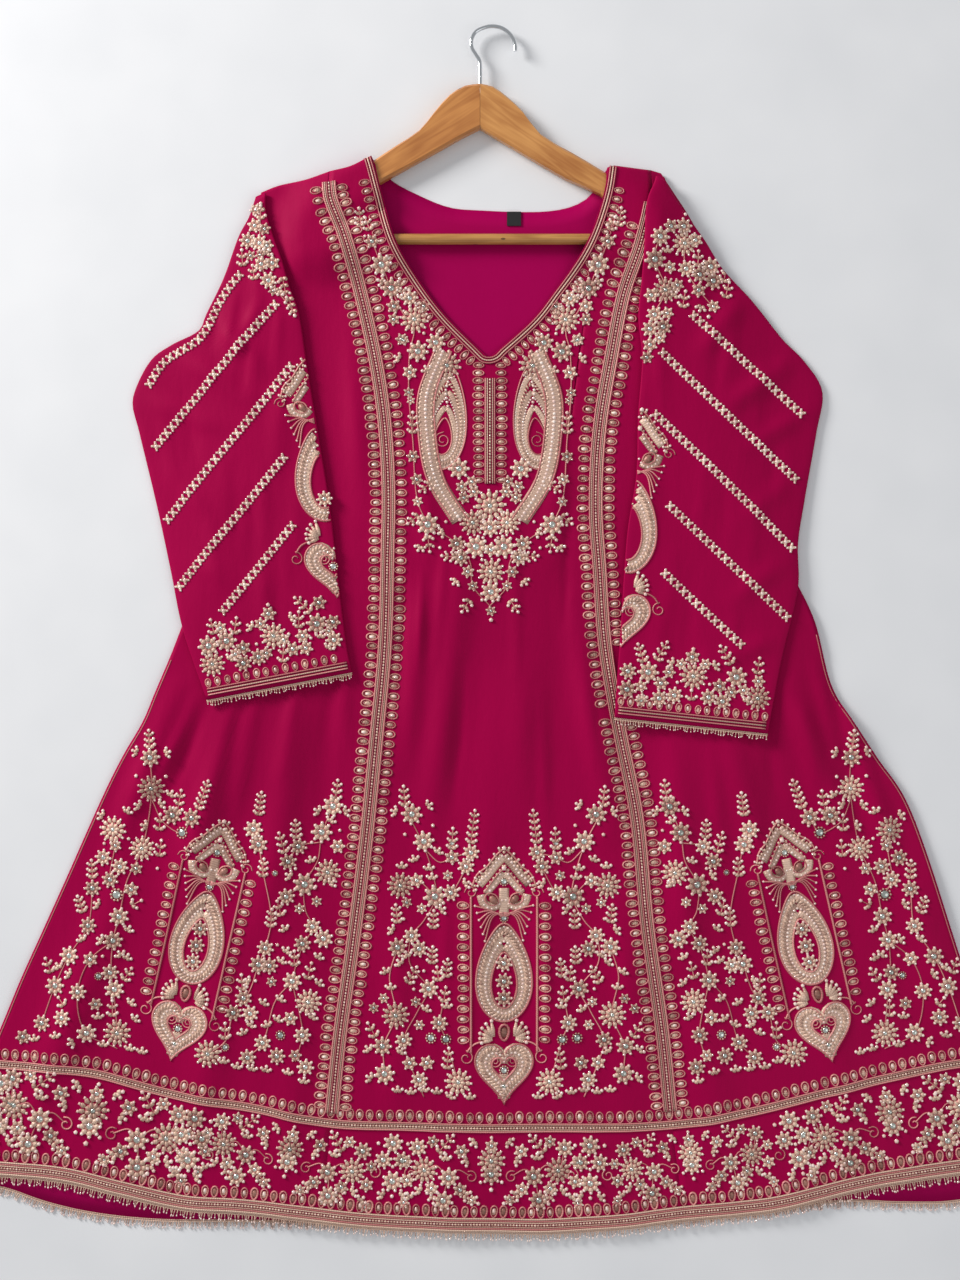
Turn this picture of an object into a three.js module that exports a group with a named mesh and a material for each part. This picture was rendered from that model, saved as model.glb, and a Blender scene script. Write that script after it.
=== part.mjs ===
// A long embroidered kurta laid flat, face up, with the wooden hanger inside its shoulders.
// Millimetres: +X to the right as seen from above, +Y towards the head, +Z up from the surface.
import * as THREE from "three";

// Driving dimensions
const CLOTH = 1.2; // thickness of every cloth wall
const SEAM = 0.3; // space left between neighbouring pieces
const BACK_TOP = CLOTH; // the back panel lies on the surface
const FRONT_REST = BACK_TOP + SEAM; // the front panel lies on the back panel
const WOOD_LOW = 1.6; // underside of the hanger above the surface
const WOOD_HIGH = 13.6; // upper face of the hanger
const WOOD_CHAMFER = 2.6;
const WIRE_RADIUS = 2;
const BAR_RADIUS = 5.5;
const HANGER_CLEAR = 0.8; // space between the wood and the cloth above it
const HANGER_REACH = 44; // distance over which the cloth falls off the hanger
const ROLL_STEPS = [0, 0.5, 3.4]; // rows of the shoulder edge, measured in from the seam
const ROLL_RISE = [0, 0.62, 1]; // share of the local height that each of those rows reaches
const FRONT_ROWS = 30;
const UPPER_ROWS = 8; // rows spent on the shoulders and the hanger
const UPPER_SHARE = 0.15; // share of the length that those rows cover
const SIDE_COLUMNS = 12;
const SHOULDER_COLUMNS = 3;
const NECK_COLUMNS = 7;
const BACK_ROWS = 12;
const BACK_SHOULDER_COLUMNS = 4;
const SLEEVE_SECTIONS = 19;
const SLEEVE_ACROSS = 8;
const SLEEVE_HEIGHT = 3.1; // both walls and the narrow hollow, at the folded edges
const SLEEVE_SWELL = 1.6; // what the middle of a sleeve adds to that
const SLEEVE_ROUND = 0.9; // how far the folded edge bulges out
const BRAID = 1.0;
const LACE = 1.0;
const LACE_GAP = 0.4;
const LAID_GAP = 0.55; // space under a braid or a sleeve where it lies on other cloth
const TOOTH_LONG = 8.5;
const TOOTH_SHORT = 3.4;
const LACE_PITCH = 17;
const BACK_LACE_HIDDEN = 250; // between these the front covers the hem of the back, so its lace has no points
const SETTLE_PASSES = 14;
const RELAX_ROUNDS = 6;
const RELAX_SHARE = 0.6;
const EVEN_ROUNDS = 12;
const EVEN_SHARE = 0.6;
const SAMPLES = 7; // samples along each side of a facet when one layer is laid on another
const FAR_BELOW = -1000;

// Outlines of the pieces, as x and y along each edge
const SHOULDER_LEFT = [[-234, 463], [-216, 470], [-187, 476], [-162, 484], [-140, 489], [-119, 499.5]];
const SHOULDER_RIGHT = [[129, 490], [152, 488], [174, 486], [184, 483]];
const NECK_LEFT = [[-117.6, 497], [-114, 485], [-108, 462], [-92, 408], [-70, 372], [-43, 336], [4, 289]];
const NECK_RIGHT = [[4, 289], [51, 332], [72, 359], [105, 406], [124, 460], [127, 477], [128.4, 487.5]];
const BACK_NECK = [
  [-119, 499.5], [-99, 477], [-70, 461], [-37, 448], [-6, 445], [66, 444], [94, 450], [110, 460], [129, 490],
];
const SIDE_LEFT = [
  [-234, 463], [-251, 414], [-261, 351], [-266, 288], [-259, 235], [-276, 162], [-291, 78], [-319, 5],
  [-329, -21], [-346, -62], [-358, -91], [-379, -127], [-396, -160], [-441, -260], [-464, -311],
  [-486, -360], [-507, -411], [-541, -489], [-578, -565],
];
const SIDE_RIGHT = [
  [184, 483], [226, 414], [251, 340], [264, 277], [261, 235], [280, 162], [301, 99], [328, 51], [345, 15],
  [364, -56], [384, -90], [411, -130], [441, -174], [499, -342], [545, -479], [576, -561],
];
const BAND_LEFT = [
  [-162, 484], [-162, 459], [-146, 414], [-129, 352], [-113, 278], [-105, 220], [-101, 150], [-102, 85],
  [-105, -14], [-113, -101], [-125, -219], [-139, -329], [-152, -420], [-161, -506], [-171, -616],
];
const BAND_RIGHT = [
  [174, 486], [174, 459], [162, 406], [146, 359], [133, 294], [120, 214], [116, 133], [120, 69],
  [126, -14], [141, -101], [159, -192], [170, -306], [186, -420], [195, -506], [209, -614],
];
const HEM_LEFT = [[-578, -565], [-509, -567], [-445, -573], [-381, -588], [-319, -602], [-258, -606], [-171, -616]];
const HEM_CENTRE_LEFT = [[-171, -616], [-110, -622], [4, -626]];
const HEM_CENTRE_RIGHT = [[4, -626], [61, -627], [142, -622], [209, -614]];
const HEM_RIGHT = [[209, -614], [295, -605], [348, -593], [400, -581], [499, -565], [576, -561]];
const BACK_HEM = [
  [-581, -573], [-509, -580], [-461, -596], [-413, -607], [-349, -614], [-258, -615], [-110, -617],
  [61, -618], [209, -611], [295, -603], [379, -594], [436, -596], [499, -594], [580, -571],
];
const SLEEVE_LEFT_OUTER = [
  [-240, 457], [-247, 436], [-257, 418], [-274, 372], [-293, 333], [-299, 319], [-329, 303], [-349, 289],
  [-366, 259], [-370, 242], [-363, 212], [-343, 129], [-329, 64], [-317, 7], [-291, -69],
];
const SLEEVE_LEFT_INNER = [
  [-229, 461], [-229, 444], [-222, 419], [-211, 388], [-205, 366], [-195, 338], [-186, 281],
  [-174, 208], [-162, 133], [-152, 47], [-144, -15], [-139, -40],
];
const SLEEVE_RIGHT_OUTER = [
  [187, 476], [194, 461], [212, 435], [230, 411], [248, 383], [278, 351], [289, 338], [313, 308],
  [335, 286], [354, 255], [348, 212], [335, 139], [328, 94], [328, 51], [310, -28], [295, -104],
];
const SLEEVE_RIGHT_INNER = [
  [178, 477], [176, 470], [168, 450], [165, 403], [163, 369], [160, 332], [164, 288], [160, 230],
  [158, 166], [149, 108], [141, -4], [135, -87],
];
const PLACKET = [[5.2, 268], [5.2, 157.5]];
const HEM_BRAID_UPPER = [
  [-519, -450], [-418, -459], [-328, -482], [-236, -498], [-163, -512.4], [-89, -515.6], [-8, -517.6],
  [86, -517.6], [195, -514.5], [268, -503], [359, -480], [450, -459], [499, -449.5], [528, -447.5],
];
const HEM_LINE = [
  [-569, -565.2], [-509, -567], [-445, -573], [-381, -588], [-319, -602], [-258, -606], [-171, -616],
  [-110, -622], [4, -626], [61, -627], [142, -622], [209, -614], [295, -605], [348, -593], [400, -581],
  [499, -565], [565, -561.3],
];

// Widths of the braids and where they stop
const WIDTHS = { neck: 8, placket: 12, band: 14.5, hemUpper: 8.5, hemLower: 11, cuff: 9 };
const NECK_BRAID_INSET = 5.2;
const HEM_BRAID_INSET = 7.4;
const BAND_START = { left: 0.012, right: 0.034 }; // shares of the seam where the princess braids begin
const BAND_END = 0.897;
const CUFF_BRAID_INSET = 11;
const LABEL = { x: 30.4, y: 436, wide: 14.7, tall: 14.8, thick: 1 };

// Largest folds of the front: from x0, y0 to x1, y1, with their half-width and height
const FRONT_FOLDS = [
  [-24, 78, -58, -206, 16, 2.2], [-68, 36, -81, -132, 12, 1.6], [42, -6, 37, -206, 18, 1.8],
  [91, 36, 133, -206, 14, 2.4], [14, -59, -16, -426, 20, 1.5], [63, -237, 79, -479, 18, 1.6],
  [-89, -279, -94, -500, 16, 1.4], [-194, -69, -234, -311, 18, 2.4], [-261, -75, -322, -279, 16, 2.6],
  [-324, -59, -392, -237, 14, 2.4], [-362, -206, -467, -479, 22, 1.8], [-268, -311, -303, -542, 22, 1.8],
  [-194, -342, -205, -573, 18, 1.5], [-415, -363, -488, -542, 20, 1.4], [196, -111, 215, -342, 16, 2.2],
  [259, -117, 306, -300, 15, 2.6], [320, -59, 379, -206, 14, 2.8], [371, -59, 425, -227, 11, 2.8],
  [331, -311, 383, -510, 20, 1.8], [441, -248, 499, -437, 18, 1.6], [226, -374, 243, -573, 18, 1.5],
  [142, -279, 159, -447, 14, 1.4], [-68, 193, -56, 78, 12, 1.2], [79, 225, 70, 78, 12, 1.2],
  [-142, 330, -129, 120, 12, 1.3], [-47, -521, -39, -610, 16, 1.2], [110, -510, 121, -600, 16, 1.2],
];

// Largest folds of the sleeves, with the same columns
const SLEEVE_LEFT_FOLDS = [
  [-285, 332, -234, 275, 10, 2.2], [-322, 296, -247, 242, 10, 2.4], [-352, 246, -276, 214, 9, 1.6],
  [-234, 351, -257, 296, 8, 1.6], [-209, 267, -219, 172, 9, 1.4], [-331, 172, -285, 120, 10, 1.4],
  [-194, 172, -198, 78, 9, 1.2], [-303, 78, -257, 46, 9, 1.3], [-234, 78, -226, -6, 10, 1.2],
  [-266, 25, -251, -48, 9, 1.1], [-228, 424, -240, 351, 7, 1.2],
];
const SLEEVE_RIGHT_FOLDS = [
  [270, 351, 226, 296, 10, 2.2], [322, 288, 251, 235, 10, 2.4], [343, 235, 276, 197, 9, 1.8],
  [219, 395, 226, 338, 8, 1.4], [180, 319, 184, 235, 8, 1.3], [320, 162, 272, 120, 10, 1.5],
  [173, 193, 171, 99, 9, 1.3], [318, 78, 257, 36, 10, 1.6], [306, -6, 243, -27, 9, 1.8],
  [184, 36, 177, -59, 9, 1.2], [232, -6, 226, -80, 9, 1.2],
];

// Hanger arms, a row for each section: x and y of the upper edge, x and y of the lower edge
const ARM_LEFT = [
  [-5.4, 574.4, -5.4, 528.1], [-21, 572.2, -24.2, 518.7], [-36.8, 562.8, -41, 509.2],
  [-53.6, 543.9, -57.8, 499.8], [-68.2, 526.1, -76.7, 489.3], [-93.5, 509.2, -91.4, 480.9],
  [-116.2, 494.2, -110.2, 470.4], [-147, 473.6, -138.6, 452.6], [-171.2, 453.6, -156.5, 434.7],
  [-184.8, 432.6, -164.8, 420], [-189, 413.7, -168, 406.4], [-185.8, 402.2, -171.2, 401.1],
];
const ARM_RIGHT = [
  [-5.1, 574.4, -5.1, 528.1], [8.4, 571.2, 12.6, 517.6], [23.1, 560.7, 28.4, 508.2],
  [38.9, 546, 45.1, 498.2], [57.8, 521.9, 64, 487.2], [91.4, 501.9, 85, 475.1],
  [124, 482.5, 120.8, 458.9], [143.8, 468.3, 132.3, 446.2], [162.8, 450.5, 148.1, 430.5],
  [175.3, 430.5, 156.5, 416.9], [178.5, 412.7, 158.6, 404.2], [175.3, 401.1, 162.8, 399],
];
const BAR = { from: -164.6, to: 154.6, y: 413 };
const HOOK = [
  [-5.2, 574.8], [-5.2, 592.2], [-5.8, 599.6], [-9.5, 605.9], [-13.7, 613.2], [-14.2, 621.6], [-9.5, 630],
  [-1.1, 634.2], [7.4, 635.8], [16.8, 634.2], [24.2, 629.5], [29.4, 622.6], [31.5, 615.3], [31.5, 610.1],
];
const HOOK_SECTIONS = 26;
const HOOK_SIDES = 8;
const BAR_SIDES = 16;
const ARM_SECTIONS = 22;

const FINISH = {
  cloth: { color: 0x9c0048, roughness: 0.7, metalness: 0 },
  clothInside: { color: 0xa3005a, roughness: 0.75, metalness: 0 },
  braid: { color: 0xc48a70, roughness: 0.5, metalness: 0.2 },
  lace: { color: 0xd9c3a0, roughness: 0.5, metalness: 0.2 },
  wood: { color: 0xc98645, roughness: 0.5, metalness: 0 },
  wire: { color: 0xc8ccd0, roughness: 0.2, metalness: 1 },
  label: { color: 0x141214, roughness: 0.8, metalness: 0 },
};

// Small numbers helpers
const lerp = (a, b, t) => a + (b - a) * t;
const clamp01 = (t) => Math.min(1, Math.max(0, t));
const smooth = (t) => clamp01(t) * clamp01(t) * (3 - 2 * clamp01(t));
const minus = (a, b) => a.map((value, i) => value - b[i]);

// Points at equal distances along a smooth curve through the rows of a table
function spread(rows, count) {
  const curve = new THREE.CatmullRomCurve3(
    rows.map(([x, y, z = 0]) => new THREE.Vector3(x, y, z)), false, "centripetal",
  );
  return curve.getSpacedPoints(count).map((p) => [p.x, p.y]);
}

// Points along the same kind of curve at stated shares of its length
function spreadAt(rows, shares) {
  const curve = new THREE.CatmullRomCurve3(
    rows.map(([x, y]) => new THREE.Vector3(x, y, 0)), false, "centripetal",
  );
  return shares.map((share) => curve.getPointAt(share)).map((p) => [p.x, p.y]);
}

// Distance in plan from a point to a segment, and how far along the segment its foot lies
function toSegment(x, y, ax, ay, bx, by) {
  const dx = bx - ax;
  const dy = by - ay;
  const along = clamp01(((x - ax) * dx + (y - ay) * dy) / (dx * dx + dy * dy));
  return { along, distance: Math.hypot(x - ax - along * dx, y - ay - along * dy) };
}

// Height that soft ridges add at a point; each one swells and dies away along its length
function foldHeight(folds, x, y) {
  let height = 0;
  for (const [ax, ay, bx, by, width, top] of folds) {
    const { along, distance } = toSegment(x, y, ax, ay, bx, by);
    const swell = Math.sin(Math.PI * (0.12 + 0.76 * along));
    height += top * swell * Math.exp(-((distance / width) ** 2));
  }
  return height;
}

// Whether a point in plan lies on a hanger arm or its bar, and the height of the wood there
const inQuad = (x, y, quad) => {
  let sign = 0;
  for (let k = 0; k < 4; k += 1) {
    const [ax, ay] = quad[k];
    const [bx, by] = quad[(k + 1) % 4];
    const side = (bx - ax) * (y - ay) - (by - ay) * (x - ax);
    if (side !== 0 && sign !== 0 && Math.sign(side) !== sign) return false;
    if (side !== 0) sign = Math.sign(side);
  }
  return true;
};
const ARM_QUADS = [ARM_LEFT, ARM_RIGHT].flatMap((arm) =>
  arm.slice(1).map((row, k) => [
    [arm[k][0], arm[k][1]], [row[0], row[1]], [row[2], row[3]], [arm[k][2], arm[k][3]],
  ]),
);
const onBar = (x, y) => x > BAR.from && x < BAR.to && Math.abs(y - BAR.y) < BAR_RADIUS;
function hangerTop(x, y) {
  if (ARM_QUADS.some((quad) => inQuad(x, y, quad))) return WOOD_HIGH;
  return onBar(x, y) ? (WOOD_LOW + WOOD_HIGH) / 2 + BAR_RADIUS : FAR_BELOW;
}

// Distance in plan from a point to the hanger
function toHanger(x, y) {
  if (hangerTop(x, y) > 0) return 0;
  let best = toSegment(x, y, BAR.from, BAR.y, BAR.to, BAR.y).distance - BAR_RADIUS;
  for (const quad of ARM_QUADS) {
    for (let k = 0; k < 4; k += 1) {
      const next = quad[(k + 1) % 4];
      best = Math.min(best, toSegment(x, y, ...quad[k], ...next).distance);
    }
  }
  return Math.max(0, best);
}

// Underside of the front cloth: flat on the back panel, over the hanger, with soft folds
function frontUnderside(x, y) {
  const over = WOOD_HIGH + HANGER_CLEAR - FRONT_REST;
  const fall = 1 - toHanger(x, y) / HANGER_REACH;
  return FRONT_REST + over * smooth(fall) + foldHeight(FRONT_FOLDS, x, y);
}

// Grid between four edges: top and bottom hold the columns, left and right the rows
function patch(top, bottom, left, right) {
  const columns = top.length - 1;
  const rows = left.length - 1;
  return left.map((leftPoint, i) => {
    const v = i / rows;
    return top.map((topPoint, j) => {
      const u = j / columns;
      return [0, 1].map((axis) => {
        const across = lerp(leftPoint[axis], right[i][axis], u);
        const down = lerp(topPoint[axis], bottom[j][axis], v);
        const low = lerp(left[rows][axis], right[rows][axis], u);
        const high = lerp(left[0][axis], right[0][axis], u);
        return across + down - lerp(high, low, v);
      });
    });
  });
}

// Spreads the inner points of a plan grid evenly between its edges
function evenedOut(grid) {
  let plan = grid;
  for (let round = 0; round < EVEN_ROUNDS; round += 1) {
    plan = plan.map((row, i) =>
      row.map((p, j) => {
        const edge = i === 0 || j === 0 || i === grid.length - 1 || j === row.length - 1;
        if (edge) return p;
        const near = [plan[i - 1][j], plan[i + 1][j], row[j - 1], row[j + 1]];
        return p.map((value, axis) => lerp(value, near.reduce((sum, q) => sum + q[axis] / 4, 0), EVEN_SHARE));
      }),
    );
  }
  return plan;
}

// Shares of the length at which the rows of the front lie: close over the hanger, wider below
function rowShares(rows, upperRows, upperShare) {
  return Array.from({ length: rows + 1 }, (_, i) =>
    i <= upperRows
      ? (upperShare * i) / upperRows
      : upperShare + ((1 - upperShare) * (i - upperRows)) / (rows - upperRows),
  );
}

// The two facets of a cell, cut along its shorter diagonal in plan
function facetsOf(a, b, c, d) {
  const long = Math.hypot(c[0] - a[0], c[1] - a[1]) > Math.hypot(d[0] - b[0], d[1] - b[1]);
  return long ? [[0, 1, 3], [1, 2, 3]] : [[0, 1, 2], [0, 2, 3]];
}

// Raises a sheet until every facet of it lies clear of what is underneath
function settle(grid, support, gap) {
  const weights = [];
  for (let a = 0; a <= SAMPLES; a += 1) {
    for (let b = 0; b <= SAMPLES - a; b += 1) {
      weights.push([a / SAMPLES, b / SAMPLES, (SAMPLES - a - b) / SAMPLES]);
    }
  }
  for (let pass = 0; pass < SETTLE_PASSES; pass += 1) {
    for (let i = 0; i + 1 < grid.length; i += 1) {
      for (let j = 0; j + 1 < grid[i].length; j += 1) {
        const corners = [grid[i][j], grid[i][j + 1], grid[i + 1][j + 1], grid[i + 1][j]];
        for (const facet of facetsOf(...corners)) {
          const points = facet.map((k) => corners[k]);
          for (const weight of weights) {
            const at = [0, 1, 2].map((axis) => points.reduce((sum, p, k) => sum + p[axis] * weight[k], 0));
            const lack = support(at[0], at[1]) + gap - at[2];
            if (lack <= 0) continue;
            const share = weight.reduce((sum, w) => sum + w * w, 0);
            points.forEach((p, k) => {
              p[2] += (lack * weight[k]) / share;
            });
          }
        }
      }
    }
  }
  return grid;
}

// Draws the height of a sheet towards that of its neighbours, where the test allows it
function relax(grid, firstRow, allowed) {
  const before = grid.map((row) => row.map((p) => p[2]));
  for (let i = firstRow; i < grid.length; i += 1) {
    for (let j = 0; j < grid[i].length; j += 1) {
      const point = grid[i][j];
      if (!allowed(point[0], point[1])) continue;
      const near = [before[i][j - 1], before[i][j + 1], i > firstRow ? before[i - 1][j] : undefined];
      near.push(i + 1 < grid.length ? before[i + 1][j] : undefined);
      const known = near.filter((z) => z !== undefined);
      const mean = known.reduce((sum, z) => sum + z, 0) / known.length;
      point[2] = lerp(before[i][j], mean, RELAX_SHARE);
    }
  }
}

// Lays a sheet down: settled, then eased and settled again until it lies softly
function lay(grid, support, gap, firstRow, allowed) {
  settle(grid, support, gap);
  for (let round = 0; round < RELAX_ROUNDS; round += 1) {
    relax(grid, firstRow, allowed);
    settle(grid, support, gap);
  }
  return grid;
}

// Upward unit normal of a grid at each of its points
function gridNormals(grid) {
  return grid.map((row, i) =>
    row.map((_, j) => {
      const west = new THREE.Vector3(...grid[i][Math.max(0, j - 1)]);
      const east = new THREE.Vector3(...grid[i][Math.min(row.length - 1, j + 1)]);
      const north = new THREE.Vector3(...grid[Math.max(0, i - 1)][j]);
      const south = new THREE.Vector3(...grid[Math.min(grid.length - 1, i + 1)][j]);
      const normal = east.sub(west).cross(north.sub(south)).normalize();
      return normal.z < 0 ? normal.negate() : normal;
    }),
  );
}

// The outer face of a wall: the grid moved out along its normals
function movedOut(grid, thickness) {
  const normals = gridNormals(grid);
  return grid.map((row, i) =>
    row.map((p, j) => [
      p[0] + thickness * normals[i][j].x,
      p[1] + thickness * normals[i][j].y,
      p[2] + thickness * normals[i][j].z,
    ]),
  );
}
const movedUp = (grid, thickness) => grid.map((row) => row.map(([x, y, z]) => [x, y, z + thickness]));

// Closed mesh from points and triangles, turned so that its faces look outwards
function closedMesh(name, points, triangles, finish) {
  let volume = 0;
  for (const [a, b, c] of triangles) {
    const [p, q, r] = [points[a], points[b], points[c]];
    volume += p[0] * (q[1] * r[2] - q[2] * r[1]);
    volume -= p[1] * (q[0] * r[2] - q[2] * r[0]);
    volume += p[2] * (q[0] * r[1] - q[1] * r[0]);
  }
  const index = triangles.flatMap(([a, b, c]) => (volume < 0 ? [a, c, b] : [a, b, c]));
  const geometry = new THREE.BufferGeometry();
  geometry.setAttribute("position", new THREE.Float32BufferAttribute(points.flat(), 3));
  geometry.setIndex(index);
  geometry.computeVertexNormals();
  const mesh = new THREE.Mesh(geometry, new THREE.MeshStandardMaterial(finish));
  mesh.name = name;
  return mesh;
}

// Wall between an inner and an outer grid of the same size
function wall(name, inner, outer, finish) {
  const rows = inner.length;
  const columns = inner[0].length;
  const at = (layer, i, j) => layer * rows * columns + i * columns + j;
  const triangles = [];
  const quad = (a, b, c, d) => triangles.push([a, b, c], [a, c, d]);
  for (let i = 0; i + 1 < rows; i += 1) {
    for (let j = 0; j + 1 < columns; j += 1) {
      const cell = [[i, j], [i, j + 1], [i + 1, j + 1], [i + 1, j]];
      for (const facet of facetsOf(...cell.map(([r, c]) => inner[r][c]))) {
        const [a, b, c] = facet.map((k) => cell[k]);
        triangles.push([at(0, ...a), at(0, ...b), at(0, ...c)], [at(1, ...a), at(1, ...c), at(1, ...b)]);
      }
    }
    quad(at(0, i, 0), at(0, i + 1, 0), at(1, i + 1, 0), at(1, i, 0));
    quad(at(0, i + 1, columns - 1), at(0, i, columns - 1), at(1, i, columns - 1), at(1, i + 1, columns - 1));
  }
  for (let j = 0; j + 1 < columns; j += 1) {
    quad(at(0, 0, j + 1), at(0, 0, j), at(1, 0, j), at(1, 0, j + 1));
    quad(at(0, rows - 1, j), at(0, rows - 1, j + 1), at(1, rows - 1, j + 1), at(1, rows - 1, j));
  }
  return closedMesh(name, [...inner.flat(), ...outer.flat()], triangles, finish);
}

// Solid through a row of closed sections, with both ends filled in
function loft(name, rings, finish) {
  const sides = rings[0].length;
  const points = rings.flat();
  const triangles = [];
  for (let i = 0; i + 1 < rings.length; i += 1) {
    for (let k = 0; k < sides; k += 1) {
      const next = (k + 1) % sides;
      const [a, b] = [i * sides + k, i * sides + next];
      triangles.push([a, b, b + sides], [a, b + sides, a + sides]);
    }
  }
  const last = (rings.length - 1) * sides;
  for (let k = 1; k + 1 < sides; k += 1) {
    triangles.push([0, k + 1, k], [last, last + k, last + k + 1]);
  }
  return closedMesh(name, points, triangles, finish);
}

// Tube wall between outer and inner sections, open at both ends
function openTube(name, outer, inner, finish) {
  const sides = outer[0].length;
  const shift = outer.length * sides;
  const points = [...outer.flat(), ...inner.flat()];
  const triangles = [];
  for (let k = 0; k < sides; k += 1) {
    const next = (k + 1) % sides;
    for (let i = 0; i + 1 < outer.length; i += 1) {
      const cell = [i * sides + k, i * sides + next, (i + 1) * sides + next, (i + 1) * sides + k];
      for (const facet of facetsOf(...cell.map((n) => points[n]))) {
        const [a, b, c] = facet.map((n) => cell[n]);
        triangles.push([a, b, c], [a + shift, c + shift, b + shift]);
      }
    }
    const end = (outer.length - 1) * sides;
    triangles.push([k, k + shift, next + shift], [k, next + shift, next]);
    triangles.push([end + k, end + next + shift, end + k + shift], [end + k, end + next, end + next + shift]);
  }
  return closedMesh(name, points, triangles, finish);
}

// Height of the sheets laid so far, found again under any point
class Terrain {
  constructor(cell) {
    this.cell = cell;
    this.cells = new Map();
  }

  // Adds the outer face of a wall, its cells cut as the inner face is
  add(outer, inner = outer) {
    for (let i = 0; i + 1 < outer.length; i += 1) {
      for (let j = 0; j + 1 < outer[i].length; j += 1) {
        const cell = [[i, j], [i, j + 1], [i + 1, j + 1], [i + 1, j]];
        for (const facet of facetsOf(...cell.map(([r, c]) => inner[r][c]))) {
          this.addFacet(facet.map((k) => outer[cell[k][0]][cell[k][1]]));
        }
      }
    }
    return this;
  }

  addFacet(facet) {
    const index = (axis, pick) => Math.floor(pick(...facet.map((p) => p[axis])) / this.cell);
    for (let ix = index(0, Math.min); ix <= index(0, Math.max); ix += 1) {
      for (let iy = index(1, Math.min); iy <= index(1, Math.max); iy += 1) {
        const key = `${ix},${iy}`;
        if (!this.cells.has(key)) this.cells.set(key, []);
        this.cells.get(key).push(facet);
      }
    }
  }

  height(x, y) {
    const key = `${Math.floor(x / this.cell)},${Math.floor(y / this.cell)}`;
    let best = FAR_BELOW;
    for (const [a, b, c] of this.cells.get(key) ?? []) {
      const area = (b[0] - a[0]) * (c[1] - a[1]) - (b[1] - a[1]) * (c[0] - a[0]);
      const v = ((x - a[0]) * (c[1] - a[1]) - (y - a[1]) * (c[0] - a[0])) / area;
      const w = ((b[0] - a[0]) * (y - a[1]) - (b[1] - a[1]) * (x - a[0])) / area;
      if (v < -1e-6 || w < -1e-6 || v + w > 1 + 1e-6) continue;
      best = Math.max(best, a[2] + v * (b[2] - a[2]) + w * (c[2] - a[2]));
    }
    return best;
  }
}

// A front piece: grid in plan, shoulder roll on the columns that meet the back, folds and hanger
function frontGrid(top, bottom, left, right, rolled) {
  const inward = ROLL_STEPS[ROLL_STEPS.length - 1];
  const start = top.map(([x, y]) => [x, y - inward]);
  const shift = (edge) =>
    edge.map(([x, y], i) => [x, y - inward * (1 - i / (edge.length - 1))]);
  const below = evenedOut(patch(start, bottom, shift(left), shift(right))).map((row) =>
    row.map(([x, y]) => [x, y, frontUnderside(x, y)]),
  );
  const roll = ROLL_STEPS.slice(0, -1).map((step, k) =>
    top.map(([x, y], j) => {
      const full = frontUnderside(x, y - inward);
      return [x, y - step, rolled(j) ? lerp(FRONT_REST, full, ROLL_RISE[k]) : full];
    }),
  );
  const support = (x, y) => {
    const wood = hangerTop(x, y);
    return wood > 0 ? wood + HANGER_CLEAR : FRONT_REST;
  };
  const nearHanger = (x, y) => toHanger(x, y) < HANGER_REACH;
  return lay([...roll, ...below], support, 0, roll.length, nearHanger);
}

// Strip of even width along a curve: rows across it, mitred where the curve turns
function stripGrid(path, halfWidth) {
  return path.map(([x, y], i) => {
    const before = path[Math.max(0, i - 1)];
    const after = path[Math.min(path.length - 1, i + 1)];
    const turn = (a, b) => {
      const length = Math.hypot(b[0] - a[0], b[1] - a[1]) || 1;
      return [-(b[1] - a[1]) / length, (b[0] - a[0]) / length];
    };
    const first = i === 0 ? turn([x, y], after) : turn(before, [x, y]);
    const second = i === path.length - 1 ? first : turn([x, y], after);
    const sum = [first[0] + second[0], first[1] + second[1]];
    const size = Math.hypot(...sum);
    const mitre = halfWidth / ((sum[0] * first[0] + sum[1] * first[1]) / size);
    const side = [(sum[0] / size) * mitre, (sum[1] / size) * mitre];
    return [[x - side[0], y - side[1], 0], [x + side[0], y + side[1], 0]];
  });
}

// A braid laid on the cloth below it
function braid(name, path, width, support) {
  const grid = stripGrid(path, width / 2);
  grid.forEach((row) => row.forEach((p) => {
    p[2] = support(p[0], p[1]) + LAID_GAP;
  }));
  settle(grid, support, LAID_GAP);
  const top = movedUp(grid, BRAID);
  return { mesh: wall(name, grid, top, FINISH.braid), top };
}

// The same polyline with each of its segments cut into even steps
function cutUp(points, steps) {
  const cut = points.slice(1).flatMap((end, k) => {
    const start = points[k];
    const count = steps(start, end);
    return Array.from({ length: count }, (_, n) => [
      lerp(start[0], end[0], n / count), lerp(start[1], end[1], n / count),
    ]);
  });
  return [...cut, points[points.length - 1].slice(0, 2)];
}

// Lace edging: a root line on the edge and points in turn long and short beyond it
function laceGrid(path, rootHeight, toothed) {
  return path.map(([x, y], k) => {
    const before = path[Math.max(0, k - 1)];
    const after = path[Math.min(path.length - 1, k + 1)];
    const length = Math.hypot(after[0] - before[0], after[1] - before[1]);
    const out = [(after[1] - before[1]) / length, -(after[0] - before[0]) / length];
    const reach = toothed(x) && k % 2 === 0 ? TOOTH_LONG : TOOTH_SHORT;
    const root = [x + out[0] * LACE_GAP, y + out[1] * LACE_GAP, rootHeight(x, y)];
    const tip = [x + out[0] * reach, y + out[1] * reach, 0];
    return [root, tip];
  });
}

// Plan edges of the panels
const shares = rowShares(FRONT_ROWS, UPPER_ROWS, UPPER_SHARE);
const halfSeam = SEAM * 0.6;
const moved = (edge, dx) => edge.map(([x, y]) => [x + dx, y]);
const bandLeft = spreadAt(BAND_LEFT, shares);
const bandRight = spreadAt(BAND_RIGHT, shares);
const shoulderSplit = (table, from, to) => table.slice(from, to);
const middle = shares.map((share) => [4, lerp(289, -626, share)]);

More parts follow.
